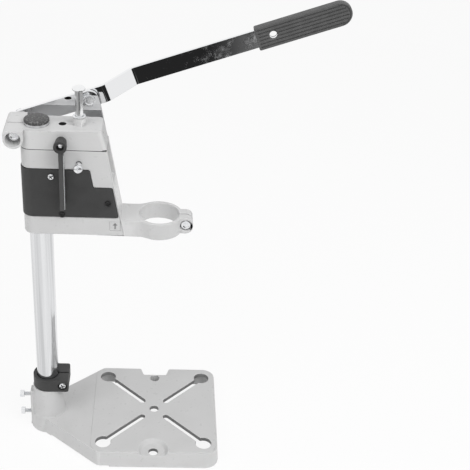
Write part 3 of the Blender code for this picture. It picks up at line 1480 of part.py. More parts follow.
def make_lever():
    pivot = pivot_at("lever_pivot", CLAMP_POINT, -radians(LEVER_ANGLE))
    near = LEVER_NEAR + LEVER_THICKNESS / 2
    far = near + LEVER_JOGGLE
    half = LEVER_WIDTH / 2
    low = -half - LEVER_DROP
    high = half - LEVER_DROP
    grip_half = GRIP_WIDTH / 2
    bar_end = GRIP_END - grip_half
    path = joggled_path(-half - OVERRUN, bar_end, near, far)
    strip = prism("lever_bar", [ribbon(path, LEVER_THICKNESS)], "Z", low - OVERRUN, high + OVERRUN)
    end = bar_end + OVERRUN
    side = arc((0, -LEVER_DROP), half, 90, 270, COARSE) + [(end, low), (end, high)]
    span = (0, far + LEVER_THICKNESS + OVERRUN)
    shape = prism("lever_side", [side], "Y", *span)
    pin_play = LEVER_SLOT_PLAY
    slot = prism(
        "lever_slot",
        [stadium(
            (LEVER_LINK_REACH - pin_play, -LEVER_DROP),
            (LEVER_LINK_REACH + pin_play, -LEVER_DROP),
            LINK_PIN_RADIUS + GAP,
        )],
        "Y",
        *span,
    )
    hole = rod("lever_hole", CLAMP_BOLT_RADIUS + GAP, "Y", *span, (0, 0, 0))
    hole_place = (GRIP_START + GRIP_HOLE_INSET, 0, -LEVER_DROP)
    hang_hole = rod("lever_hang_hole", GRIP_HOLE_RADIUS, "Y", *span, hole_place, COARSE)
    boolean(strip, "INTERSECT", shape)
    cut(strip, slot, hole, hang_hole)
    tip = [(x, z, 0) for x, z in arc((bar_end, -LEVER_DROP), grip_half, -90, 90, COARSE)]
    root_edge = [
        (GRIP_START, grip_half - LEVER_DROP, GRIP_CORNER),
        (GRIP_START, -grip_half - LEVER_DROP, GRIP_CORNER),
    ]
    half_thickness = GRIP_THICKNESS / 2
    grip = prism("grip", [rounded(tip + root_edge)], "Y", far - half_thickness, far + half_thickness)
    slack = LEVER_THICKNESS / 2 + GAP
    pocket = box(
        "grip_pocket",
        (GRIP_START - OVERRUN, bar_end + GAP),
        (far - slack, far + slack),
        (low - GAP, high + GAP),
    )
    cut(grip, pocket, hang_hole)
    ride(pivot, strip, shape, slot, hole, hang_hole, grip, pocket)
    part(strip, "lever_bar", "chrome", pivot)
    part(grip, "lever_grip", "grip_plastic", pivot)


make_base()
make_column()
make_stop_collar()
bracket_pivot = pivot_at("bracket_pivot", (0, 0, BRACKET_BASE))
carriage_pivot = pivot_at("carriage_pivot", (0, 0, CARRIAGE_BASE))
make_bracket(bracket_pivot)
make_return_spring(bracket_pivot)
make_carriage(carriage_pivot)
make_depth_rod()
make_link()
make_lever()
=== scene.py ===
import json
from math import atan2, cos, degrees, pi, radians, sin, tan

import bmesh
import bpy
from mathutils import Matrix, Vector


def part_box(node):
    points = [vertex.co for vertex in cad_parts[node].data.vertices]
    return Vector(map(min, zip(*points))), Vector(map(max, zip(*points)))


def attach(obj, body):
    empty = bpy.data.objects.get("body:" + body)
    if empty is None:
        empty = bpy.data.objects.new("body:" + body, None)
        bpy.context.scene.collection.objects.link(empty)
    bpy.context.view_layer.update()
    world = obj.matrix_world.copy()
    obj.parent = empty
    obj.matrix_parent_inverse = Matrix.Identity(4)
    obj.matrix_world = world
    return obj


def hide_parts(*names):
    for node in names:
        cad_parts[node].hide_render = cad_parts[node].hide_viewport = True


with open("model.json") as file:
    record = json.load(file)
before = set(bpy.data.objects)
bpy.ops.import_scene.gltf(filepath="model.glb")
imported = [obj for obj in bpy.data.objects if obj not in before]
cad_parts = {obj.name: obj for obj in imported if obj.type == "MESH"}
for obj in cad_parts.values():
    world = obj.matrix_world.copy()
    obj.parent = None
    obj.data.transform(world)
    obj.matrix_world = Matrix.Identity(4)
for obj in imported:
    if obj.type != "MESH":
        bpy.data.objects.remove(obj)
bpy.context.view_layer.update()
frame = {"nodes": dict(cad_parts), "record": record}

MM = 0.001
MERGE_DISTANCE = 0.002 * MM
OVERRUN = 2 * MM

NODES = frame["nodes"]
SLOTS = {entry["node"]: entry["material_slot"] for entry in frame["record"]["subparts"]}
BODIES = {node: body for body, nodes in frame["record"]["behaviour"]["bodies"].items() for node in nodes}

# Which way a shape's own +Z points, for each axis it can lie along
FACING = {
    "-X": Matrix(((0, 0, -1, 0), (1, 0, 0, 0), (0, -1, 0, 0), (0, 0, 0, 1))),
    "+Y": Matrix(((0, 1, 0, 0), (0, 0, 1, 0), (1, 0, 0, 0), (0, 0, 0, 1))),
    "-Y": Matrix(((0, -1, 0, 0), (0, 0, -1, 0), (1, 0, 0, 0), (0, 0, 0, 1))),
    "+Z": Matrix.Identity(4),
}

# Places and sizes read from the solids
CARRIAGE_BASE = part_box("carriage_casting")[0].z
CARRIAGE_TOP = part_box("carriage_casting")[1].z
TUBE_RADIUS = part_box("column_tube")[1].x
ROD_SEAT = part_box("depth_stop_washer")[1].z

# Places and sizes that the solids have too
HEAD_HALF_WIDTH = 18.1 * MM
HEAD_TOP = 398.5 * MM
RIM_FACE = 21 * MM
THROAT = 125.65 * MM
TUBE_WALL = 1.5 * MM
ROD_X = 43 * MM
ROD_RADIUS = 4 * MM
STOP_TRAVEL = 28 * MM
SPRING_X = 26 * MM
ARROW_X = 79.55 * MM
ARROW_Z = 289.75 * MM
CLAMP_POINT = Vector((-21.8, 0, 389.3)) * MM
BOLT_FLATS = 10 * MM
LEVER_ANGLE = 19.9
LEVER_WIDTH = 19 * MM
LEVER_THICKNESS = 4 * MM
SHOULDER_FAR = 26 * MM
LEVER_NEAR = 31.2 * MM
LEVER_DROP = 2.7 * MM
LEVER_LINK_REACH = 76.6 * MM
LEVER_SLOT_PLAY = 1.3 * MM
LEVER_SLOT_RADIUS = 4.3 * MM
LEVER_BORE_RADIUS = 3.3 * MM
LEVER_JOGGLE_END = 124.6 * MM
LEVER_JOGGLE = 22.2 * MM
LEVER_BEND_RADIUS = 7.5 * MM
GRIP_START = 256.8 * MM
GRIP_WIDTH = 25.3 * MM
GRIP_THICKNESS = 9 * MM
GRIP_HOLE_X = 274.4 * MM
GRIP_HOLE_RADIUS = 4 * MM

# Places and sizes of the new pieces alone
ROD_HEAD_Z = ROD_SEAT + STOP_TRAVEL + 0.1 * MM
BOLT_BORE = 3.05 * MM
WASHER_BORE = 3.3 * MM
LEVER_JOGGLE_START = 94 * MM
GRIP_END = 356.9 * MM


# Materials

def map_range(tree, value, *bounds):
    """A node that carries a value from one range to another and holds it at the ends."""
    node = tree.nodes.new("ShaderNodeMapRange")
    for socket, bound in zip(("From Min", "From Max", "To Min", "To Max"), bounds):
        node.inputs[socket].default_value = bound
    tree.links.new(value, node.inputs["Value"])
    return node


def coordinate(tree, space, axis):
    """How far along an axis a point lies, in a space of texture coordinates."""
    place = tree.nodes.new("ShaderNodeTexCoord")
    split = tree.nodes.new("ShaderNodeSeparateXYZ")
    tree.links.new(place.outputs[space], split.inputs["Vector"])
    return split.outputs[axis]


def arithmetic(tree, operation, first, second):
    """The result of an operation on two values, the second of which may be a plain number."""
    node = tree.nodes.new("ShaderNodeMath")
    node.operation = operation
    tree.links.new(first, node.inputs[0])
    if isinstance(second, float):
        node.inputs[1].default_value = second
    else:
        tree.links.new(second, node.inputs[1])
    return node.outputs["Value"]


def new_material(name):
    """A material and its node tree."""
    material = bpy.data.materials.new(name)
    material.use_nodes = True
    return material, material.node_tree


class Shader:
    """A Principled material whose patterns are laid in the object's own space."""

    def __init__(self, name, colour, roughness, metallic=0.0, **sockets):
        self.material, self.tree = new_material(name)
        self.shader = self.tree.nodes["Principled BSDF"]
        self.place = self.tree.nodes.new("ShaderNodeTexCoord")
        sockets |= {"Base_Color": (*colour, 1), "Roughness": roughness, "Metallic": metallic}
        for socket, value in sockets.items():
            self.shader.inputs[socket.replace("_", " ")].default_value = value

    def link(self, start, end):
        self.tree.links.new(start, end)

    def noise(self, size, detail=3, scale=(1, 1, 1)):
        """Noise whose grains are about as large as size, in coordinates stretched by scale."""
        mapping = self.tree.nodes.new("ShaderNodeMapping")
        mapping.inputs["Scale"].default_value = scale
        self.link(self.place.outputs["Object"], mapping.inputs["Vector"])
        node = self.tree.nodes.new("ShaderNodeTexNoise")
        node.inputs["Scale"].default_value = 1 / size
        node.inputs["Detail"].default_value = detail
        self.link(mapping.outputs["Vector"], node.inputs["Vector"])
        return node.outputs["Fac"]

    def spread(self, value, *bounds):
        return map_range(self.tree, value, *bounds).outputs["Result"]

    def mixed(self, share, first, second):
        """A colour between two, by a share."""
        node = self.tree.nodes.new("ShaderNodeMix")
        node.data_type = "RGBA"
        self.link(share, node.inputs["Factor"])
        inputs = [socket for socket in node.inputs if socket.type == "RGBA"]
        for socket, colour in zip(inputs, (first, second)):
            if isinstance(colour, tuple):
                socket.default_value = (*colour, 1)
            else:
                self.link(colour, socket)
        return next(socket for socket in node.outputs if socket.type == "RGBA")

    def patches(self, first, second, size, detail, ends, scale=(1, 1, 1)):
        """Patches of a second colour in a first, which start and end at two levels of noise."""
        return self.mixed(self.spread(self.noise(size, detail, scale), *ends, 0, 1), first, second)

    def lighter_edges(self, body, edge, ends):
        """A body colour that turns into another where the surface bulges, as edges do."""
        geometry = self.tree.nodes.new("ShaderNodeNewGeometry")
        return self.mixed(self.spread(geometry.outputs["Pointiness"], *ends, 0, 1), body, edge)

    def colour(self, value):
        self.link(value, self.shader.inputs["Base Color"])

    def roughness(self, value):
        self.link(value, self.shader.inputs["Roughness"])

    def rough(self, low, high, size, detail, ends=(0.3, 0.7), scale=(1, 1, 1)):
        """Roughness that wanders between two values in patches of a size."""
        self.roughness(self.spread(self.noise(size, detail, scale), *ends, low, high))

    def bump(self, strength, distance, size, detail, scale=(1, 1, 1)):
        """Fine relief with grains of a size."""
        node = self.tree.nodes.new("ShaderNodeBump")
        node.inputs["Strength"].default_value = strength
        node.inputs["Distance"].default_value = distance
        self.link(self.noise(size, detail, scale), node.inputs["Height"])
        self.link(node.outputs["Normal"], self.shader.inputs["Normal"])


def grey(level):
    return (level, level, level)


def cast_paint():
    """Light grey paint over a die casting: faint unevenness, and edges coloured lighter as a painted
    highlight.
    """
    paint = Shader("cast_paint", grey(0.62), 0.3, Coat_Weight=0.25, Coat_Roughness=0.1)
    body = paint.patches(grey(0.605), grey(0.635), 28 * MM, 4, (0.3, 0.7))
    spotted = paint.patches(body, grey(0.56), 1.1 * MM, 2, (0.68, 0.76))
    # Painted highlight: the edges are coloured lighter than the body.
    paint.colour(paint.lighter_edges(spotted, grey(0.68), (0.54, 0.62)))
    paint.rough(0.26, 0.40, 5 * MM, 3)
    paint.bump(0.16, 0.05 * MM, 1.4 * MM, 3)
    return paint


def chrome():
    """Bright plating with faint drawing lines and dull spots."""
    plate = Shader("chrome", (0.80, 0.805, 0.815), 0.05, 1.0)
    plate.rough(0.03, 0.14, 7 * MM, 5, (0.5, 0.8))
    plate.bump(0.03, 0.01 * MM, 0.5 * MM, 2, (1, 1, 0.03))
    return plate


def column_chrome():
    """The column's plating: rougher streaks along it, and darker and lighter streaks in its colour as a
    painted reflection of the surroundings.
    """
    plate = Shader("column_chrome", (0.74, 0.745, 0.755), 0.12, 1.0)
    dull = (0.6, 0.605, 0.615)
    bright = (0.8, 0.805, 0.815)
    # Painted reflection: lengthwise darker and lighter streaks in the colour.
    plate.colour(plate.patches(dull, bright, 5 * MM, 4, (0.38, 0.62), (1, 1, 0.015)))
    plate.rough(0.06, 0.22, 3 * MM, 4, (0.35, 0.65), (1, 1, 0.02))
    plate.bump(0.04, 0.01 * MM, 0.5 * MM, 2, (1, 1, 0.03))
    return plate


def painted_shade_grey():
    """Grey painted shade for the walls of slots and recesses and for the small arrow, where less light falls.
    """
    metal = Shader("painted_shade_grey", grey(0.24), 0.5, 0.2)
    metal.colour(metal.mixed(metal.noise(5 * MM), grey(0.18), grey(0.3)))
    metal.rough(0.4, 0.6, 2 * MM, 2)
    metal.bump(0.2, 0.05 * MM, 1 * MM, 2)
    return metal


def painted_shade_black():
    """Near-black painted shade for deep holes, screw recesses and the joint between castings, where little
    light falls.
    """
    shade_coat = Shader("painted_shade_black", grey(0.02), 0.7)
    shade_coat.colour(shade_coat.mixed(shade_coat.noise(2 * MM), grey(0.014), grey(0.03)))
    shade_coat.rough(0.6, 0.85, 1 * MM, 2)
    shade_coat.bump(0.3, 0.05 * MM, 0.6 * MM, 2)
    return shade_coat


def lever_chrome():
    """The lever's plating, a little wavy over its rolled bar, cloudy towards the grip."""
    plate = Shader("lever_chrome", (0.86, 0.865, 0.875), 0.06, 1.0)
    clouds = plate.spread(plate.noise(8 * MM, 5), 0.4, 0.66, 0.03, 0.26)
    near_grip = plate.spread(coordinate(plate.tree, "Object", "X"), 120 * MM, 215 * MM, 0.12, 1)
    plate.roughness(arithmetic(plate.tree, "MULTIPLY", clouds, near_grip))
    plate.bump(0.12, 0.05 * MM, 5 * MM, 3)
    return plate


def rod_chrome():
    """The depth rod's bright plating with fine marks of the lathe round it."""
    plate = Shader("rod_chrome", (0.87, 0.875, 0.88), 0.05, 1.0)
    plate.rough(0.03, 0.12, 3 * MM, 3, (0.35, 0.7))
    plate.bump(0.03, 0.01 * MM, 0.4 * MM, 2, (0.05, 0.05, 1))
    return plate


def zinc():
    """Blue-white zinc plating, duller than chrome."""
    plate = Shader("zinc", (0.78, 0.79, 0.81), 0.25, 1.0)
    plate.rough(0.12, 0.28, 2 * MM, 3)
    plate.colour(plate.patches((0.74, 0.75, 0.77), (0.86, 0.865, 0.87), 4 * MM, 2, (0.35, 0.65)))
    plate.bump(0.06, 0.02 * MM, 0.3 * MM, 2)
    return plate


def black_plastic():
    """Black plastic with the fine spark-eroded grain of its mould."""
    skin = Shader("black_plastic", grey(0.031), 0.5)
    body = skin.patches(grey(0.028), grey(0.034), 14 * MM, 3, (0.35, 0.65))
    skin.colour(skin.lighter_edges(body, grey(0.06), (0.53, 0.6)))
    skin.rough(0.44, 0.6, 0.8 * MM, 2)
    skin.bump(0.35, 0.05 * MM, 0.45 * MM, 2)
    return skin


def plug_plastic():
    """The plug's well-used plastic, with pale scuffs all over it."""
    skin = Shader("plug_plastic", grey(0.06), 0.5)
    skin.colour(skin.patches(grey(0.05), grey(0.2), 1.6 * MM, 4, (0.5, 0.68)))
    skin.rough(0.35, 0.6, 1 * MM, 2)
    skin.bump(0.6, 0.2 * MM, 1.2 * MM, 3)
    return skin


def grip_plastic():
    """Soft dark grey plastic of the handle."""
    skin = Shader("grip_plastic", grey(0.085), 0.6)
    body = skin.patches(grey(0.075), grey(0.095), 9 * MM, 4, (0.3, 0.7))
    skin.colour(skin.lighter_edges(body, grey(0.13), (0.53, 0.62)))
    skin.rough(0.48, 0.64, 3 * MM, 3)
    skin.bump(0.25, 0.04 * MM, 0.6 * MM, 2)
    return skin


def black_steel():
    """Blackened screws, slightly shiny."""
    skin = Shader("black_steel", grey(0.03), 0.34, 0.6)
    skin.rough(0.24, 0.42, 1.5 * MM, 2)
    skin.bump(0.1, 0.02 * MM, 0.3 * MM, 2)
    return skin


def scale_metal():
    """The scale's brushed strip."""
    strip = Shader("scale_metal", (0.70, 0.71, 0.72), 0.3, 0.9)
    strip.rough(0.24, 0.42, 1 * MM, 3, scale=(1, 1, 0.1))
    strip.bump(0.1, 0.01 * MM, 0.4 * MM, 2, (1, 1, 0.05))
    return strip


def bronze():
    """Sintered bronze of the bushes."""
    bush = Shader("bronze", (0.52, 0.38, 0.2), 0.42, 0.95)
    bush.rough(0.34, 0.52, 1 * MM, 3)
    bush.bump(0.2, 0.02 * MM, 0.4 * MM, 2)
    return bush


def spring_steel():
    """Drawn wire of the spring."""
    wire = Shader("spring_steel", (0.45, 0.46, 0.48), 0.32, 1.0)
    wire.rough(0.24, 0.4, 1 * MM, 2)
    wire.bump(0.1, 0.01 * MM, 0.3 * MM, 2)
    return wire


SLOT_MATERIALS = (
    cast_paint, chrome, zinc, black_plastic, grip_plastic, black_steel, scale_metal, bronze, spring_steel,
)
OTHER_MATERIALS = (lever_chrome, column_chrome, painted_shade_black, painted_shade_grey, rod_chrome, plug_plastic)
MATERIALS = {make.__name__: make().material for make in SLOT_MATERIALS + OTHER_MATERIALS}


# Outlines

def arc(centre, radius, start, end, steps):
    """Points on a circle from one angle in degrees to another, both ends included."""
    turns = [radians(start + (end - start) * i / steps) for i in range(steps + 1)]
    return [(centre[0] + radius * cos(turn), centre[1] + radius * sin(turn)) for turn in turns]


def stadium(start, end, radius, steps=16):
    """Two round ends joined by straight sides."""
    heading = degrees(atan2(end[1] - start[1], end[0] - start[0]))
    near = arc(start, radius, heading + 90, heading + 270, steps)
    return near + arc(end, radius, heading - 90, heading + 90, steps)


def ribbon(path, thickness):
    """The outline of a strip of even thickness along an open path."""
    sides = ([], [])
    last = len(path) - 1
    for i, point in enumerate(path):
        here = Vector(point)
        before = (here - Vector(path[i - 1])).normalized() if i else None
        after = (Vector(path[i + 1]) - here).normalized() if i < last else None
        before = before or after
        after = after or before
        first = Vector((-before.y, before.x))
        second = Vector((-after.y, after.x))
        step = (first + second) * thickness / 2 / (1 + first.dot(second))
        sides[0].append(tuple(here - step))
        sides[1].append(tuple(here + step))
    return sides[0] + sides[1][::-1]


# Pieces

def direction(axis):
    """The unit vector of an axis."""
    return FACING[axis].to_3x3() @ Vector((0, 0, 1))


def dress_nodes():
    """Every CAD node gets the material of its slot."""
    for name, node in NODES.items():
        node.data.materials.clear()
        node.data.materials.append(MATERIALS[SLOTS[name]])


def new_piece(name, mesh):
    piece = bpy.data.objects.new(name, mesh)
    bpy.context.scene.collection.objects.link(piece)
    return piece


def piece_from(name, shape, matrix=Matrix.Identity(4)):
    """A piece in the stand's own frame from a shape drawn in another."""
    bmesh.ops.recalc_face_normals(shape, faces=shape.faces)
    shape.transform(matrix)
    mesh = bpy.data.meshes.new(name)
    shape.to_mesh(mesh)
    shape.free()
    return new_piece(name, mesh)


def baked(piece, *helpers):
    """The piece with its modifiers made real and its helpers gone."""
    graph = bpy.context.evaluated_depsgraph_get()
    mesh = bpy.data.meshes.new_from_object(piece.evaluated_get(graph))
    piece.modifiers.clear()
    piece.data = mesh
    for helper in helpers:
        bpy.data.objects.remove(helper)
    return piece


def combined(piece, operation, *others):
    """The piece after a boolean with each of the others, which go."""
    for other in others:
        modifier = piece.modifiers.new(other.name, "BOOLEAN")
        modifier.operation = operation
        modifier.object = other
    return baked(piece, *others)


def cut(piece, *others):
    return combined(piece, "DIFFERENCE", *others)


def turned(name, profile, axis, place, segments=64, closed=False, waves=0):
    """A profile of (radius, height) points turned about an axis.

    A point's third number is how deep the waves cut into the ring there.
    """
    shape = bmesh.new()
    rings = []
    for radius, height, *depth in profile:
        if not radius:
            rings.append([shape.verts.new((0, 0, height))])
            continue
        ring = []
        for i in range(segments):
            turn = 2 * pi * i / segments
            reach = radius - (depth[0] * (1 - cos(waves * turn)) / 2 if depth else 0)
            ring.append(shape.verts.new((reach * cos(turn), reach * sin(turn), height)))
        rings.append(ring)
    pairs = list(zip(rings, rings[1:]))
    if closed:
        pairs.append((rings[-1], rings[0]))
    for lower, upper in pairs:
        for i in range(segments):
            j = (i + 1) % segments
            corners = [ring[k % len(ring)] for ring, k in ((lower, i), (lower, j), (upper, j), (upper, i))]
            corners = dict.fromkeys(corners)
            if len(corners) > 2:
                shape.faces.new(corners)
    return piece_from(name, shape, Matrix.Translation(place) @ FACING[axis])


def block(name, low, high, matrix=Matrix.Identity(4)):
    """A box between two corners."""
    middle = [(a + b) / 2 for a, b in zip(low, high)]
    size = Matrix.Diagonal([b - a for a, b in zip(low, high)] + [1])
    shape = bmesh.new()
    bmesh.ops.create_cube(shape, size=1, matrix=Matrix.Translation(middle) @ size)
    return piece_from(name, shape, matrix)


def prism(name, outline, axis, low, high, matrix=Matrix.Identity(4)):
    """A flat outline drawn out along Y or Z from low to high."""
    shape = bmesh.new()
    rings = []
    for along in (low, high):
        points = [(x, along, y) if axis == "Y" else (x, y, along) for x, y in outline]
        rings.append([shape.verts.new(point) for point in points])
    for i in range(len(outline)):
        shape.faces.new((rings[0][i - 1], rings[0][i], rings[1][i], rings[1][i - 1]))
    for ring in rings:
        shape.faces.new(ring)
    return piece_from(name, shape, matrix)


def tidied(piece, angle=0.5):
    """Merges the piece's doubled points and its faces that lie in one plane."""
    shape = bmesh.new()
    shape.from_mesh(piece.data)
    bmesh.ops.remove_doubles(shape, verts=shape.verts, dist=MERGE_DISTANCE)
    bmesh.ops.dissolve_limit(shape, angle_limit=radians(angle), verts=shape.verts, edges=shape.edges)
    shape.to_mesh(piece.data)
    shape.free()
    return piece


def face_reach(face, edge):
    """How far a face reaches away from one of its edges."""
    start = edge.verts[0].co
    along = (edge.verts[1].co - start).normalized()
    return max(((vert.co - start) - along * (vert.co - start).dot(along)).length for vert in face.verts)


def eased(piece, width, segments=2, angle=32, chosen=None):
    """Rounds the piece's sharp edges by a width, or less beside a narrow face.

    Where chosen is given, it picks the edges by their middle and the edge itself.
    """
    shape = bmesh.new()
    shape.from_mesh(piece.data)
    layer = shape.edges.layers.float.new("bevel_weight_edge")
    room_share = 0.42
    for edge in shape.edges:
        if len(edge.link_faces) != 2 or edge.calc_face_angle() < radians(angle):
            continue
        middle = (edge.verts[0].co + edge.verts[1].co) / 2
        if chosen and not chosen(middle, edge):
            continue
        room = min(face_reach(face, edge) for face in edge.link_faces)
        edge[layer] = min(1, room_share * room / width)
    shape.to_mesh(piece.data)
    shape.free()
    bevel = piece.modifiers.new("eased", "BEVEL")
    bevel.width = width
    bevel.segments = segments
    bevel.limit_method = "WEIGHT"
    bevel.use_clamp_overlap = False
    return baked(piece)


def smoothed(piece, angle=35):
    """Smooth shading that leaves large faces flat and sharp edges sharp."""
    piece.data.shade_smooth()
    piece.data.set_sharp_from_angle(angle=radians(angle))
    normals = piece.modifiers.new("flat_faces", "WEIGHTED_NORMAL")
    normals.keep_sharp = True
    normals.weight = 80
    return baked(piece)


def stand_for(piece, *nodes, material=None):
    """A piece takes the place of CAD nodes of one body and slot."""
    piece.data.materials.clear()
    piece.data.materials.append(MATERIALS[material or SLOTS[nodes[0]]])
    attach(piece, BODIES[nodes[0]])
    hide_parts(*nodes)
    return piece


def add_to(piece, node, slot=None):
    """A piece that rides with a CAD node's body beside it."""
    slot = slot or SLOTS[node]
    piece.data.materials.clear()
    piece.data.materials.append(MATERIALS[slot])
    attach(piece, BODIES[node])
    return piece


def copy_of(node):
    return tidied(new_piece(node + "_soft", NODES[node].data.copy()))


def softened(node, width, segments=2):
    """A copy of a CAD node with its sharp edges rounded off, which stands for it."""
    stand_for(smoothed(eased(copy_of(node), width, segments)), node)


def place_of(node):
    """The middle of a CAD node and its half sizes."""
    low, high = (Vector(corner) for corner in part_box(node))
    return (low + high) / 2, (high - low) / 2


# Column

def make_column():
    low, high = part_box("column_tube")
    inner = TUBE_RADIUS - TUBE_WALL
    edge = 0.4 * MM
    profile = [
        (TUBE_RADIUS, low[2]),
        (TUBE_RADIUS, high[2] - edge),
        (TUBE_RADIUS - edge, high[2]),
        (inner + edge, high[2]),
        (inner, high[2] - edge),
        (inner, low[2]),
    ]
    tube = turned("tube", profile, "+Z", (0, 0, 0), 128, closed=True)
    stand_for(smoothed(tube), "column_tube", material="column_chrome")


def make_plug():
    """A crowned disc with a knurled rim, a skirt over the tube's end and a stem inside it."""
    low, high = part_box("column_plug")
    top = high[2]
    seat = top - 2.5 * MM
    rim = TUBE_RADIUS + 0.5 * MM
    skirt_end = seat - 1.2 * MM
    skirt_bore = TUBE_RADIUS + 0.02 * MM
    notch = 0.45 * MM
    stem = TUBE_RADIUS - TUBE_WALL - 0.3 * MM
    lead_in = 1 * MM
    profile = [
        (0, top),
        (rim * 0.4, top - 0.08 * MM),
        (rim * 0.7, top - 0.3 * MM),
        (rim - 1.6 * MM, top - 0.6 * MM),
        (rim - 0.7 * MM, top - 0.9 * MM, notch / 2),
        (rim, top - 1.5 * MM, notch),
        (rim, skirt_end, notch),
        (skirt_bore, skirt_end),
        (skirt_bore, seat),
        (stem, seat),
        (stem, low[2] + lead_in),
        (stem - lead_in, low[2]),
        (0, low[2]),
    ]
    plug = turned("plug", profile, "+Z", (0, 0, 0), 256, waves=32)
    stand_for(smoothed(plug, 50), "column_plug", material="plug_plastic")


# Screws and pins

def cross_cutter(place, axis, reach, width, depth, turn):
    """The cross recess of a screw's head, its floor a depth below the place."""
    matrix = Matrix.Translation(place) @ FACING[axis] @ Matrix.Rotation(radians(turn), 4, "Z")
    arms = []
    for wide, deep in ((reach, width), (width, reach)):
        arms.append(block("arm", (-wide, -deep, -depth), (wide, deep, OVERRUN), matrix))
    return arms


def pan_head(radius, height, steps=5):
    """The outer profile of a pan head from its middle down to its rim, above a flat underside at zero."""
    round_edge = height * 0.6
    crown = height * 0.12
    points = [(0, height), (radius * 0.5, height - crown * 0.4)]
    centre = (radius - round_edge, height - crown - round_edge)
    points += [(centre[0] + round_edge * cos(radians(a)), centre[1] + round_edge * sin(radians(a)))
               for a in [75 - 75 * i / steps for i in range(steps + 1)]]
    return points + [(radius, 0)]


def make_pan_screw(node, axis, shank_radius, head_height, turn, material=None):
    """A pan-headed screw with a cross recess; its head is at the end that the axis points to."""
    middle, half = place_of(node)
    line = direction(axis)
    reach = abs(half.dot(line))
    head_radius = max(half[i] for i in range(3) if not line[i])
    under = middle + line * (reach - head_height)
    length = 2 * reach - head_height
    profile = pan_head(head_radius, head_height) + [
        (shank_radius, 0),
        (shank_radius, -length + shank_radius / 2),
        (shank_radius / 2, -length),
        (0, -length),
    ]
    screw = turned(node + "_piece", profile, axis, under, 48)
    top = under + line * head_height
    arm = head_radius * 0.66
    arm_width = head_radius * 0.16
    depth = head_height * 0.6
    cut(screw, *cross_cutter(top, axis, arm, arm_width, depth, turn))
    stand_for(smoothed(screw, 30), node, material=material)

    def in_recess(face, normal):
        deep = top.dot(line) - face.dot(line) > depth / 2
        return deep and (face - top).cross(line).length < arm * 0.9

    # The deep faces of the cross recess are coloured near-black as painted shade.
    line_with(screw, "painted_shade_black", in_recess)


def make_hex(node, flats, low, high, extras=None, bore=0):
    """A chamfered hexagon from low to high along Y, dished in its low face, with turned extras."""
    axis = "+Y"
    middle = place_of(node)[0]
    place = Vector((middle.x, 0, middle.z))
    chamfer = 0.6 * MM
    dish = 0.5 * MM
    corner = flats / 2 / cos(pi / 6)
    outline = [(corner * cos(pi / 3 * i), corner * sin(pi / 3 * i)) for i in range(6)]
    head = prism(node + "_piece", outline, "Z", low, high, Matrix.Translation(place) @ FACING[axis])
    profile = [
        (0, high),
        (flats / 2 * 0.96, high),
        (corner, high - chamfer),
        (corner, low + chamfer),
        (flats / 2 * 0.96, low),
        (flats / 2 * 0.7, low),
        (flats / 2 * 0.5, low + dish),
        (0, low + dish),
    ]
    combined(head, "INTERSECT", turned("barrel", profile, axis, place, 48))
    if bore:
        edge = 0.5 * MM
        profile = [
            (0, high + OVERRUN),
            (bore + edge + OVERRUN, high + OVERRUN),
            (bore, high - edge),
            (bore, low + edge),
            (bore + edge + OVERRUN, low - OVERRUN),
            (0, low - OVERRUN),
        ]
        cut(head, turned("bore", profile, axis, place, 32))
    eased(tidied(head), 0.15 * MM, 1, 25)
    if extras:
        extra = turned("extra", extras, axis, place, 32)
        joined = bmesh.new()
        joined.from_mesh(head.data)
        joined.from_mesh(extra.data)
        joined.to_mesh(head.data)
        joined.free()
        bpy.data.objects.remove(extra)
    stand_for(smoothed(head, 25), node)


def thread(radius, start, end, pitch):
    """Rings of thread from start to end, as points of a profile."""
    steps = max(1, round(abs(end - start) / pitch))
    depth = pitch * 0.45
    points = []
    for i in range(steps):
        here = start + (end - start) * i / steps
        points += [(radius - depth, here), (radius, here + (end - start) / steps / 2)]
    return points + [(radius - depth, end)]


def make_washer(node, axis, inner):
    middle, half = place_of(node)
    line = direction(axis)
    thick = abs(half.dot(line))
    outer = max(half[i] for i in range(3) if not line[i])
    edge = thick * 0.4
    profile = [
        (inner, -thick + edge),
        (inner, thick - edge),
        (inner + edge, thick),
        (outer - edge, thick),
        (outer, thick - edge),
        (outer, -thick + edge),
        (outer - edge, -thick),
        (inner + edge, -thick),
    ]
    stand_for(smoothed(turned(node + "_piece", profile, axis, middle, 64, closed=True), 30), node)


def make_bolt(node, threaded):
    """A hexagon bolt whose head is at the low end of its line along Y."""
    low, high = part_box(node)
    shank = 3 * MM
    head = 4 * MM
    sunk = 1 * MM
    pitch = 1 * MM
    under = low[1] + head
    stem = [(0, under - sunk), (shank, under - sunk), (shank, high[1] - threaded)]
    stem += thread(shank, high[1] - threaded, high[1], pitch)
    make_hex(node, BOLT_FLATS, low[1], under, stem + [(0, high[1])])


def make_nut(node, flats, bore):
    low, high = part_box(node)
    make_hex(node, flats, low[1], high[1], bore=bore)


def make_fasteners():
    for side, axis in (("front", "-Y"), ("far", "+Y")):
        for spot, turn in (("top", 35), ("front", 10), ("rear", 60)):
            steel = "zinc" if spot == "top" else None
            node = f"cover_screw_{side}_{spot}"
            make_pan_screw(node, axis, shank_radius=1.5 * MM, head_height=1.6 * MM, turn=turn, material=steel)
    make_pan_screw("stop_collar_screw", "-Y", shank_radius=2.5 * MM, head_height=3.4 * MM, turn=20)
    make_washer("depth_stop_washer", "+Z", inner=ROD_RADIUS + 0.3 * MM)
    make_washer("lever_washer", "+Y", inner=WASHER_BORE)
    make_washer("collar_clamp_washer", "+Y", inner=WASHER_BORE)
    make_bolt("clamp_bolt", threaded=10 * MM)
    make_nut("lever_nut", BOLT_FLATS, BOLT_BORE)
    make_bolt("collar_clamp_bolt", threaded=8 * MM)
    make_nut("collar_clamp_nut", BOLT_FLATS, BOLT_BORE)
    make_nut("stop_collar_nut", flats=8 * MM, bore=2.55 * MM)


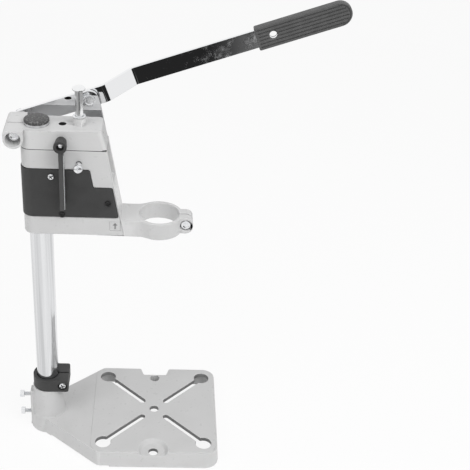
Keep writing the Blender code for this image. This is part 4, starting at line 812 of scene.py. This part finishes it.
def make_rod_lock_screw():
    """A ball near the casting and the slotted head in front of it."""
    low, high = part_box("rod_lock_screw")
    middle, half = place_of("rod_lock_screw")
    head = 3.5 * MM
    under = -low[1] - head
    neck = 2.65 * MM
    waist = neck * 0.8
    ball = 3.5 * MM
    ball_y = HEAD_HALF_WIDTH + 0.2 * MM + ball
    profile = [(across, under + up) for across, up in pan_head(half.x, head)]
    profile += [(neck, under), (waist, under - 1 * MM), (waist, ball_y + ball * cos(radians(37)))]
    profile += [(ball * sin(radians(a)), ball_y + ball * cos(radians(a))) for a in range(50, 140, 12)]
    profile += [(neck, ball_y - ball * cos(radians(49))), (neck, -high[1]), (0, -high[1])]
    screw = turned("rod_lock_screw_piece", profile, "-Y", (middle.x, 0, middle.z), 48)
    slot_depth = 1.1 * MM
    slot_half = 0.5 * MM
    slot = block(
        "slot",
        (middle.x - slot_half, low[1] - OVERRUN, middle.z - half.z - OVERRUN),
        (middle.x + slot_half, low[1] + slot_depth, middle.z + half.z + OVERRUN),
    )
    cut(screw, slot)
    stand_for(smoothed(screw, 35), "rod_lock_screw")


def make_base_screws():
    """Cylinder heads with fluted sides and a hexagon socket."""
    head = 5 * MM
    edge = 0.5 * MM
    flute = 0.25 * MM
    shank = 2.5 * MM
    pitch = 0.8 * MM
    key = 2.3 * MM
    socket_depth = 2.6 * MM
    for name in ("base_lock_screw_lower", "base_lock_screw_upper"):
        low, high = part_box(name)
        middle, half = place_of(name)
        radius = half.z
        reach = -low[0]
        profile = [
            (0, reach),
            (radius - edge, reach),
            (radius, reach - edge, flute),
            (radius, reach - head + edge, flute),
            (radius - edge, reach - head),
            (shank, reach - head),
        ] + thread(shank, reach - head, -high[0], pitch) + [(0, -high[0])]
        screw = turned(name + "_piece", profile, "-X", (0, 0, middle.z), 144, waves=24)
        hexagon = [(key * cos(pi / 3 * i), key * sin(pi / 3 * i)) for i in range(6)]
        matrix = Matrix.Translation((0, 0, middle.z)) @ FACING["-X"]
        cut(screw, prism("socket", hexagon, "Z", reach - socket_depth, reach + OVERRUN, matrix))
        stand_for(smoothed(screw, 40), name)


def make_depth_rod():
    low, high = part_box("depth_stop_rod")
    head = place_of("depth_stop_rod")[1].x
    rim = 1.0 * MM
    under = 0.35 * MM
    thread_top = low[2] + 45 * MM
    lead_in = 1 * MM
    pitch = 1.25 * MM
    dome = [(cos(radians(turn)), sin(radians(turn))) for turn in range(81, -1, -9)]
    rise = high[2] - ROD_HEAD_Z - rim
    profile = [(0, high[2])] + [(head * across, ROD_HEAD_Z + rim + rise * up) for across, up in dome]
    profile += [
        (head, ROD_HEAD_Z + under),
        (head - under, ROD_HEAD_Z),
        (ROD_RADIUS, ROD_HEAD_Z),
        (ROD_RADIUS, thread_top),
    ]
    profile += thread(ROD_RADIUS, thread_top, low[2] + lead_in, pitch)
    profile += [(ROD_RADIUS * 0.7, low[2]), (0, low[2])]
    rod = turned("depth_rod", profile, "+Z", (ROD_X, 0, 0), 64)
    stand_for(smoothed(rod, 30), "depth_stop_rod", material="rod_chrome")


def make_link_pins():
    """The upper pin's flat head has a raised ring and a small star driven into its middle."""
    head = 6.2 * MM
    head_height = 1 * MM
    dish = 0.45 * MM
    ring_inner = 2.4 * MM
    ring_outer = 1.7 * MM
    pin = 4 * MM
    far_head = 6.5 * MM
    far_height = 1.5 * MM
    shoulder = 6 * MM
    edge = 0.4 * MM
    low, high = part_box("link_upper_pin")
    middle = place_of("link_upper_pin")[0]
    near = -low[1]
    far = -high[1]
    profile = [
        (0, near - dish),
        (head - ring_inner, near - dish),
        (head - ring_outer, near),
        (head - edge, near),
        (head, near - edge),
        (head, near - head_height),
        (pin, near - head_height),
        (pin, far + far_height),
        (far_head, far + far_height),
        (far_head, far + edge),
        (far_head - edge, far),
        (0, far),
    ]
    piece = turned("link_upper_pin_piece", profile, "-Y", (middle.x, 0, middle.z), 64)
    top = Vector((middle.x, low[1] + dish, middle.z))
    arm = 1.5 * MM
    arm_width = 0.35 * MM
    for turn in (10, 55):
        cut(piece, *cross_cutter(top, "-Y", arm, arm_width, arm_width, turn))
    stand_for(smoothed(piece, 30), "link_upper_pin")
    low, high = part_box("link_lower_pin")
    middle = place_of("link_lower_pin")[0]
    far = high[1]
    root = HEAD_HALF_WIDTH + 0.3 * MM
    profile = [
        (0, far - 0.3 * MM),
        (2 * MM, far - 0.3 * MM),
        (2.6 * MM, far),
        (far_head - edge, far),
        (far_head, far - edge),
        (far_head, far - far_height),
        (pin, far - far_height),
        (pin, SHOULDER_FAR),
        (shoulder - edge, SHOULDER_FAR),
        (shoulder, SHOULDER_FAR - edge),
        (shoulder, root),
        (pin, root),
        (pin, low[1]),
        (0, low[1]),
    ]
    piece = turned("link_lower_pin_piece", profile, "+Y", (middle.x, 0, middle.z), 64)
    stand_for(smoothed(piece, 30), "link_lower_pin")


# Scale

def make_scale():
    softened("scale_holder", width=0.5 * MM, segments=3)
    softened("scale_bar", width=0.45 * MM, segments=3)
    low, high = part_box("scale_holder_screw")
    middle, half = place_of("scale_holder_screw")
    radius = half.x
    dome_height = 1.6 * MM
    dome = [(sin(radians(a)), 1 - cos(radians(a))) for a in (0, 25, 50, 75, 90)]
    profile = [(radius * across, -low[1] - dome_height * down) for across, down in dome]
    profile += [(radius, -high[1]), (0, -high[1])]
    screw = turned("holder_screw", profile, "-Y", (middle.x, 0, middle.z), 6)
    stand_for(smoothed(screw, 20), "scale_holder_screw", material="zinc")
    make_scale_marks()


def make_scale_marks():
    """A mark each millimetre, longer at each fifth and longest at each tenth."""
    low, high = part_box("scale_strip")
    proud = 0.04 * MM
    tick = 0.35 * MM
    margin = 2 * MM
    inset = 0.5 * MM
    shape = bmesh.new()
    for i in range(int((high[2] - low[2] - 2 * margin) / MM) + 1):
        reach = (5 if i % 10 == 0 else 3.6 if i % 5 == 0 else 2.2) * MM
        size = Matrix.Diagonal((2 * proud, reach, tick, 1))
        place = Matrix.Translation((high[0], low[1] + inset + reach / 2, low[2] + margin + i * MM))
        bmesh.ops.create_cube(shape, size=1, matrix=place @ size)
    add_to(piece_from("scale_marks", shape), "scale_strip", "black_plastic")


# Lever

def lever_frame():
    """Along X the lever's middle line, which runs a little below the clamp bolt."""
    tilt = Matrix.Rotation(-radians(LEVER_ANGLE), 4, "Y")
    return Matrix.Translation(CLAMP_POINT) @ tilt @ Matrix.Translation((0, 0, -LEVER_DROP))


def joggled_path(start, end, near, far, steps=14):
    """The lever's middle line from above: straight, a joggle away from the head, straight again."""
    bend = degrees(atan2(far - near, LEVER_JOGGLE_END - LEVER_JOGGLE_START))
    reach = LEVER_BEND_RADIUS * tan(radians(bend / 2))
    first_centre = (LEVER_JOGGLE_START - reach, near + LEVER_BEND_RADIUS)
    second_centre = (LEVER_JOGGLE_END + reach, far - LEVER_BEND_RADIUS)
    first = arc(first_centre, LEVER_BEND_RADIUS, -90, bend - 90, steps)
    second = arc(second_centre, LEVER_BEND_RADIUS, 90 + bend, 90, steps)
    return [(start, near)] + first + second + [(end, far)]


def make_lever_bar():
    matrix = lever_frame()
    near = LEVER_NEAR + LEVER_THICKNESS / 2
    far = near + LEVER_JOGGLE
    half = LEVER_WIDTH / 2
    end = GRIP_END - GRIP_WIDTH / 2
    path = joggled_path(-half - OVERRUN, end, near, far)
    bar = prism("lever_bar_piece", ribbon(path, LEVER_THICKNESS), "Z", -half, half, matrix)
    past = end + OVERRUN
    side = arc((0, 0), half, 90, 270, 32) + [(past, -half - OVERRUN), (past, half + OVERRUN)]
    span = (0, far + LEVER_THICKNESS + OVERRUN)
    combined(bar, "INTERSECT", prism("lever_side", side, "Y", *span, matrix))
    ends = [(LEVER_LINK_REACH + way * LEVER_SLOT_PLAY, 0) for way in (-1, 1)]
    slot = stadium(*ends, LEVER_SLOT_RADIUS)
    hole = arc((0, LEVER_DROP), LEVER_BORE_RADIUS, 0, 352, 44)
    hang = arc((GRIP_HOLE_X, 0), GRIP_HOLE_RADIUS, 0, 350, 35)
    cut(bar, *[prism("lever_hole", outline, "Y", *span, matrix) for outline in (slot, hole, hang)])
    stand_for(smoothed(eased(tidied(bar), 0.45 * MM, 3, 40), 30), "lever_bar", material="lever_chrome")


def groove(points, y, width, depth, matrix):
    """A strip of V-shaped cutter along points of the grip's face, open towards its own outside."""
    side = 1 if y > 0 else -1
    shape = bmesh.new()
    path = [Vector(point) for point in points]
    rings = []
    for i, here in enumerate(path):
        before = path[max(0, i - 1)]
        after = path[min(len(path) - 1, i + 1)]
        along = (after - before).normalized()
        across = Vector((-along.y, along.x)) * width / 2
        ring = [
            (here + across, y + side * depth),
            (here + across * 0.9, y),
            (here + across * 0.35, y - side * depth),
            (here - across * 0.35, y - side * depth),
            (here - across * 0.9, y),
            (here - across, y + side * depth),
        ]
        rings.append([shape.verts.new((place.x, level, place.y)) for place, level in ring])
    for first, second in zip(rings, rings[1:]):
        for i in range(len(first)):
            shape.faces.new((first[i - 1], first[i], second[i], second[i - 1]))
    shape.faces.new(rings[0])
    shape.faces.new(rings[-1])
    return piece_from("groove", shape, matrix)


def make_grip():
    """The grip: lengthwise grooves on both faces inside a rim, and a dished hanging hole."""
    matrix = lever_frame()
    middle = LEVER_NEAR + LEVER_THICKNESS / 2 + LEVER_JOGGLE
    half = GRIP_WIDTH / 2
    tip = GRIP_END - half
    thick = GRIP_THICKNESS / 2
    edge = 1.5 * MM
    outline = arc((tip, 0), half, -90, 90, 48)
    outline += arc((GRIP_START + edge, half - edge), edge, 90, 180, 5)
    outline += arc((GRIP_START + edge, edge - half), edge, 180, 270, 5)
    grip = prism("grip", outline, "Y", middle - thick, middle + thick, matrix)
    eased(tidied(grip), edge, 4, 40)
    play = 0.3 * MM
    slack = LEVER_THICKNESS / 2 + play
    bar = LEVER_WIDTH / 2 + play
    far_end = (tip + play, middle + slack, bar)
    hole = arc((GRIP_HOLE_X, 0), GRIP_HOLE_RADIUS, 0, 350, 35)
    cutters = [
        block("pocket", (GRIP_START - OVERRUN, middle - slack, -bar), far_end, matrix),
        prism("hole", hole, "Y", 0, middle + OVERRUN + thick, matrix),
    ]
    rim = half - 2.3 * MM
    root = GRIP_START + 2.5 * MM
    short = 1.6 * MM
    dish_radius = 5.6 * MM
    dish_depth = 1.4 * MM
    for side in (-1, 1):
        face = middle + side * thick
        cutters.append(groove(arc((tip, 0), rim, -90, 90, 40), face, 1.2 * MM, 0.7 * MM, matrix))
        for across in (-9.2 * MM, -5.5 * MM, -1.85 * MM, 1.85 * MM, 5.5 * MM, 9.2 * MM):
            end = tip + (rim * rim - across * across) ** 0.5 - short
            cutters.append(groove([(root, across), (end, across)], face, 1.4 * MM, 0.8 * MM, matrix))
        profile = [
            (0, side * (thick + OVERRUN)),
            (dish_radius + OVERRUN, side * (thick + OVERRUN)),
            (dish_radius, side * thick),
            (GRIP_HOLE_RADIUS, side * (thick - dish_depth)),
            (0, side * (thick - dish_depth)),
        ]
        dish = turned("dish", profile, "+Z", (0, 0, 0), 48)
        dish.data.transform(matrix @ Matrix.Translation((GRIP_HOLE_X, middle, 0)) @ FACING["+Y"])
        cutters.append(dish)
    cut(grip, *cutters)
    stand_for(smoothed(tidied(grip), 30), "lever_grip")


# Castings and what is moulded on them

def line_with(piece, material, is_inside):
    """Gives another material to the faces that is_inside picks by their middle and normal."""
    piece.data.materials.append(MATERIALS[material])
    for face in piece.data.polygons:
        if is_inside(face.center, face.normal):
            face.material_index = len(piece.data.materials) - 1


def is_upright(normal):
    return abs(normal.z) < 0.3


def bracket_front(middle, edge):
    """The two upright edges where the bracket's sides meet its sloping front."""
    tall = abs((edge.verts[0].co - edge.verts[1].co).z) > 15 * MM
    return middle.x > 60 * MM and abs(middle.y) > 17 * MM and tall


def in_bracket_depths(middle, normal):
    """The spring's hole and the joint with the carriage, whose faces get near-black painted shade."""
    in_hole = (middle.xy - Vector((SPRING_X, 0))).length < 4.5 * MM and middle.z > HEAD_TOP - 9 * MM
    in_joint = middle.z < CARRIAGE_TOP + 0.6 * MM and normal.z < -0.6
    return in_hole and is_upright(normal) or in_joint


# The carriage's top faces under the bracket, coloured near-black as painted shade in the joint.
def in_carriage_depths(middle, normal):
    return middle.z > CARRIAGE_TOP - 0.35 * MM and normal.z > 0.6


def in_mark(middle, normal):
    """The walls of the square recess round the arrow, which get grey painted shade."""
    reach = max(abs(middle.x - ARROW_X), abs(middle.z - ARROW_Z))
    return reach < 6.4 * MM and middle.y < -16 * MM and abs(normal.y) < 0.3


def in_base_slots(middle, normal):
    """The upright walls of the base's slots and holes, but not of the recess for the front bench screw; they
    get grey painted shade.
    """
    reach = max(abs(middle.x - THROAT), abs(middle.y))
    in_recess = abs(middle.x - THROAT) < 19 * MM and abs(middle.y) > 61 * MM and middle.z > 17.5 * MM
    return reach < 70 * MM and is_upright(normal) and middle.z > 14 * MM and not in_recess


def widen_arm(carriage):
    """Brings the arm's sides out to the head's and lets them run into the ring in long curves."""
    arm_side = 17.5 * MM
    arm_root = 60 * MM
    ring = 25.1 * MM
    fillet = 30 * MM
    near = 0.05 * MM
    wall = 0.2 * MM
    back = ((ring + fillet) ** 2 - (HEAD_HALF_WIDTH + fillet) ** 2) ** 0.5
    curve_start = THROAT - back
    curve_end = THROAT - back * ring / (ring + fillet)
    for vert in carriage.data.vertices:
        x, y = vert.co.xy
        outer = (vert.co.xy - Vector((THROAT, 0))).length > ring - wall
        side = HEAD_HALF_WIDTH
        if curve_start < x < curve_end and outer and abs(y) > arm_side - near:
            side += fillet - (fillet**2 - (x - curve_start) ** 2) ** 0.5
        elif x < arm_root or abs(abs(y) - arm_side) > near:
            continue
        vert.co.y = side if y > 0 else -side


def clear_of_arm_root(middle, edge):
    """All edges but the head's rounded heel and those where its side and the arm's lie in one plane."""
    on_root = 80 * MM < middle.x and abs(middle.y) > 17 * MM and middle.z < CARRIAGE_BASE + 21 * MM
    on_heel = middle.z < CARRIAGE_BASE + 2.2 * MM and (abs(middle.y) > 15 * MM or middle.x < 0)
    return middle.x > 92 * MM or not (on_root or on_heel)


def clear_of_tail_rim(middle, edge):
    """All edges but the rim's along the tail, where the socket's flare leaves it no room."""
    return middle.x > 70 * MM or middle.xy.length < 19.5 * MM or abs(middle.z - RIM_FACE) > 0.3 * MM


def make_castings():
    base = copy_of("base_casting")
    stand_for(smoothed(eased(base, 0.8 * MM, 3, chosen=clear_of_tail_rim)), "base_casting")
    # The slot and hole walls are coloured grey as painted shade.
    line_with(base, "painted_shade_grey", in_base_slots)
    bracket = copy_of("upper_bracket")
    eased(bracket, 4.5 * MM, 6, chosen=bracket_front)
    stand_for(smoothed(eased(bracket, 1.1 * MM, 3)), "upper_bracket")
    # The spring's hole and the bracket's underside at the joint are coloured near-black as painted shade.
    line_with(bracket, "painted_shade_black", in_bracket_depths)
    carriage = copy_of("carriage_casting")
    widen_arm(carriage)
    stand_for(smoothed(eased(tidied(carriage), 0.9 * MM, 3, chosen=clear_of_arm_root)), "carriage_casting")
    # The carriage's top faces at the joint get near-black painted shade, and the walls round the arrow grey
    # painted shade.
    line_with(carriage, "painted_shade_black", in_carriage_depths)
    line_with(carriage, "painted_shade_grey", in_mark)
    for side in ("front", "far"):
        softened(f"side_cover_{side}", width=0.45 * MM)
    softened("stop_collar", width=0.7 * MM, segments=3)
    softened("link_plate", width=0.4 * MM)


def make_arrow():
    """The small raised arrow in the arm's square recess, pointing up."""
    floor = -HEAD_HALF_WIDTH + 0.8 * MM
    proud = 0.45 * MM
    sunk = 0.2 * MM
    stem = 0.65 * MM
    size = 3.6 * MM
    wing = size * 0.7
    neck = ARROW_Z + size * 0.2
    outline = [
        (ARROW_X - stem, ARROW_Z - size),
        (ARROW_X + stem, ARROW_Z - size),
        (ARROW_X + stem, neck),
        (ARROW_X + wing, neck),
        (ARROW_X, ARROW_Z + size),
        (ARROW_X - wing, neck),
        (ARROW_X - stem, neck),
    ]
    arrow = prism("arrow", outline, "Y", floor - proud, floor + sunk)
    eased(arrow, 0.15 * MM, 2, 60)
    add_to(smoothed(arrow), "carriage_casting")
    # The whole arrow is coloured in the grey painted shade.
    line_with(arrow, "painted_shade_grey", lambda middle, normal: True)


# Stage

# The photograph's camera, solved from points of the stand
PICTURE_SIZE = 470
FOCAL_PIXELS = 1012.2
CENTRE_X_PIXELS = 200
SENSOR = 36
CAMERA_PLACE = Vector((123.5, -927.1, 849.1)) * MM
CAMERA_AZIMUTH = -2.89
CAMERA_DROP = 31.94
CAMERA_ROLL = 2.96


def make_camera():
    azimuth = radians(CAMERA_AZIMUTH)
    drop = radians(CAMERA_DROP)
    roll = radians(CAMERA_ROLL)
    ahead = Vector((-sin(azimuth) * cos(drop), cos(azimuth) * cos(drop), -sin(drop)))
    level = Vector((cos(azimuth), sin(azimuth), 0))
    upright = level.cross(ahead)
    right = level * cos(roll) + upright * sin(roll)
    up = upright * cos(roll) - level * sin(roll)
    lens = bpy.data.cameras.new("camera")
    lens.sensor_width = SENSOR
    lens.lens = FOCAL_PIXELS / PICTURE_SIZE * SENSOR
    lens.shift_x = 0.5 - CENTRE_X_PIXELS / PICTURE_SIZE
    camera = bpy.data.objects.new("camera", lens)
    turn = Matrix((right, up, -ahead)).transposed().to_4x4()
    camera.matrix_world = Matrix.Translation(CAMERA_PLACE) @ turn
    bpy.context.scene.collection.objects.link(camera)
    bpy.context.scene.camera = camera


def seen_rays(tree):
    """One for a camera, glossy or transmitted ray, and zero for the light itself."""
    path = tree.nodes.new("ShaderNodeLightPath")
    total = path.outputs["Is Camera Ray"]
    for name in ("Is Glossy Ray", "Is Transmission Ray"):
        total = arithmetic(tree, "MAXIMUM", total, path.outputs[name])
    return total


def make_world(front, behind):
    """A soft sky that gives less light from behind the stand, and is white to look at."""
    world = bpy.data.worlds.new("studio")
    bpy.context.scene.world = world
    world.use_nodes = True
    tree = world.node_tree
    sky = tree.nodes["Background"]
    sky.inputs["Color"].default_value = (1, 1, 1, 1)
    depth = map_range(tree, coordinate(tree, "Generated", "Y"), -1, 1, front, behind)
    strength = map_range(tree, seen_rays(tree), 0, 1, 0, 1)
    tree.links.new(depth.outputs["Result"], strength.inputs["To Min"])
    tree.links.new(strength.outputs["Result"], sky.inputs["Strength"])


def stage_strip(name, first, second, material, closed=False):
    """A strip between two rows of points that isn't part of the stand."""
    shape = bmesh.new()
    rows = [[shape.verts.new(point) for point in row] for row in (first, second)]
    for i in range(0 if closed else 1, len(first)):
        shape.faces.new((rows[0][i - 1], rows[0][i], rows[1][i], rows[1][i - 1]))
    mesh = bpy.data.meshes.new(name)
    shape.to_mesh(mesh)
    shape.free()
    mesh.materials.append(material)
    strip = new_piece(name, mesh)
    return strip


def make_floor(size, white_share):
    """A pale floor that keeps the stand's shadow and looks nearly white."""
    material, tree = new_material("floor")
    shader = tree.nodes["Principled BSDF"]
    shader.inputs["Base Color"].default_value = (*grey(0.92), 1)
    shader.inputs["Roughness"].default_value = 0.9
    glow = tree.nodes.new("ShaderNodeEmission")
    glow.inputs["Strength"].default_value = 1.0
    mix = tree.nodes.new("ShaderNodeMixShader")
    tree.links.new(arithmetic(tree, "MULTIPLY", seen_rays(tree), white_share), mix.inputs["Fac"])
    tree.links.new(shader.outputs["BSDF"], mix.inputs[1])
    tree.links.new(glow.outputs["Emission"], mix.inputs[2])
    tree.links.new(mix.outputs["Shader"], tree.nodes["Material Output"].inputs["Surface"])
    half = size / 2
    rows = [[(x, y, 0) for x in (-half, half)] for y in (-half, half)]
    stage_strip("floor", *rows, material)


def make_reflected(name, level, first, second, closed=False):
    """A glowing card of the studio that only polished metal shows, and its glow."""
    material, tree = new_material(name)
    tree.nodes.remove(tree.nodes["Principled BSDF"])
    glow = tree.nodes.new("ShaderNodeEmission")
    glow.inputs["Strength"].default_value = level
    tree.links.new(glow.outputs["Emission"], tree.nodes["Material Output"].inputs["Surface"])
    strip = stage_strip(name, first, second, material, closed)
    strip.visible_camera = False
    strip.visible_diffuse = False
    strip.visible_shadow = False
    strip.visible_transmission = False
    return tree, glow


def make_surround(centre, inner, outer, height, level):
    """The dimmer room beyond the white table."""
    steps = 96
    rings = [arc(centre, radius, 0, 360 * (1 - 1 / steps), steps - 1) for radius in (outer, inner)]
    make_reflected("surround", level, *[[(x, y, height) for x, y in ring] for ring in rings], closed=True)


def make_card(low, high, height, levels, fade):
    """A dark card in front of the stand that grows lighter towards its right end."""
    rows = [[(x, y, height) for x in (low[0], high[0])] for y in (low[1], high[1])]
    tree, glow = make_reflected("card", 1, *rows)
    ramp = map_range(tree, coordinate(tree, "Object", "X"), *fade, *levels)
    ramp.interpolation_type = "SMOOTHSTEP"
    tree.links.new(ramp.outputs["Result"], glow.inputs["Strength"])


def make_dark_wall(centre, radius, start, end, height, level):
    """A dark upright card in front of the stand that the lever's first bend shows as a dark strip."""
    foot = arc(centre, radius, start, end, 24)
    make_reflected("dark_wall", level, *[[(x, y, z) for x, y in foot] for z in (0, height)])


def make_soft_light(name, place, power):
    """A square lamp, seen neither by the camera nor in polished metal, aimed at the stand's foot."""
    target = (0.1, 0, 0.2)
    lamp = bpy.data.lights.new(name, "AREA")
    lamp.shape = "SQUARE"
    lamp.size = 1.0
    lamp.energy = power
    light = bpy.data.objects.new(name, lamp)
    light.location = place
    light.rotation_mode = "QUATERNION"
    light.rotation_quaternion = (Vector(place) - Vector(target)).to_track_quat("Z", "Y")
    light.visible_camera = False
    light.visible_glossy = False
    bpy.context.scene.collection.objects.link(light)


make_camera()
make_world(front=0.68, behind=0.16)
make_floor(size=24, white_share=0.9)
make_surround(centre=(0.1, 0), inner=0.85, outer=1.45, height=1 * MM, level=0.38)
make_card(low=(-0.025, -1.35), high=(0.45, -0.84), height=2 * MM, levels=(0.02, 0.26), fade=(0.22, 0.44))
make_dark_wall(centre=(0.064, 0.03), radius=1.3, start=-83, end=-36, height=0.45, level=0.02)
make_soft_light("key", place=(0.9, -0.7, 1.6), power=15)
make_soft_light("fill", place=(-0.7, -0.8, 1.4), power=6)
bpy.context.scene.view_settings.view_transform = "Standard"

dress_nodes()
make_castings()
make_arrow()
make_column()
make_plug()
make_fasteners()
make_rod_lock_screw()
make_base_screws()
make_depth_rod()
make_link_pins()
make_scale()
make_lever_bar()
make_grip()
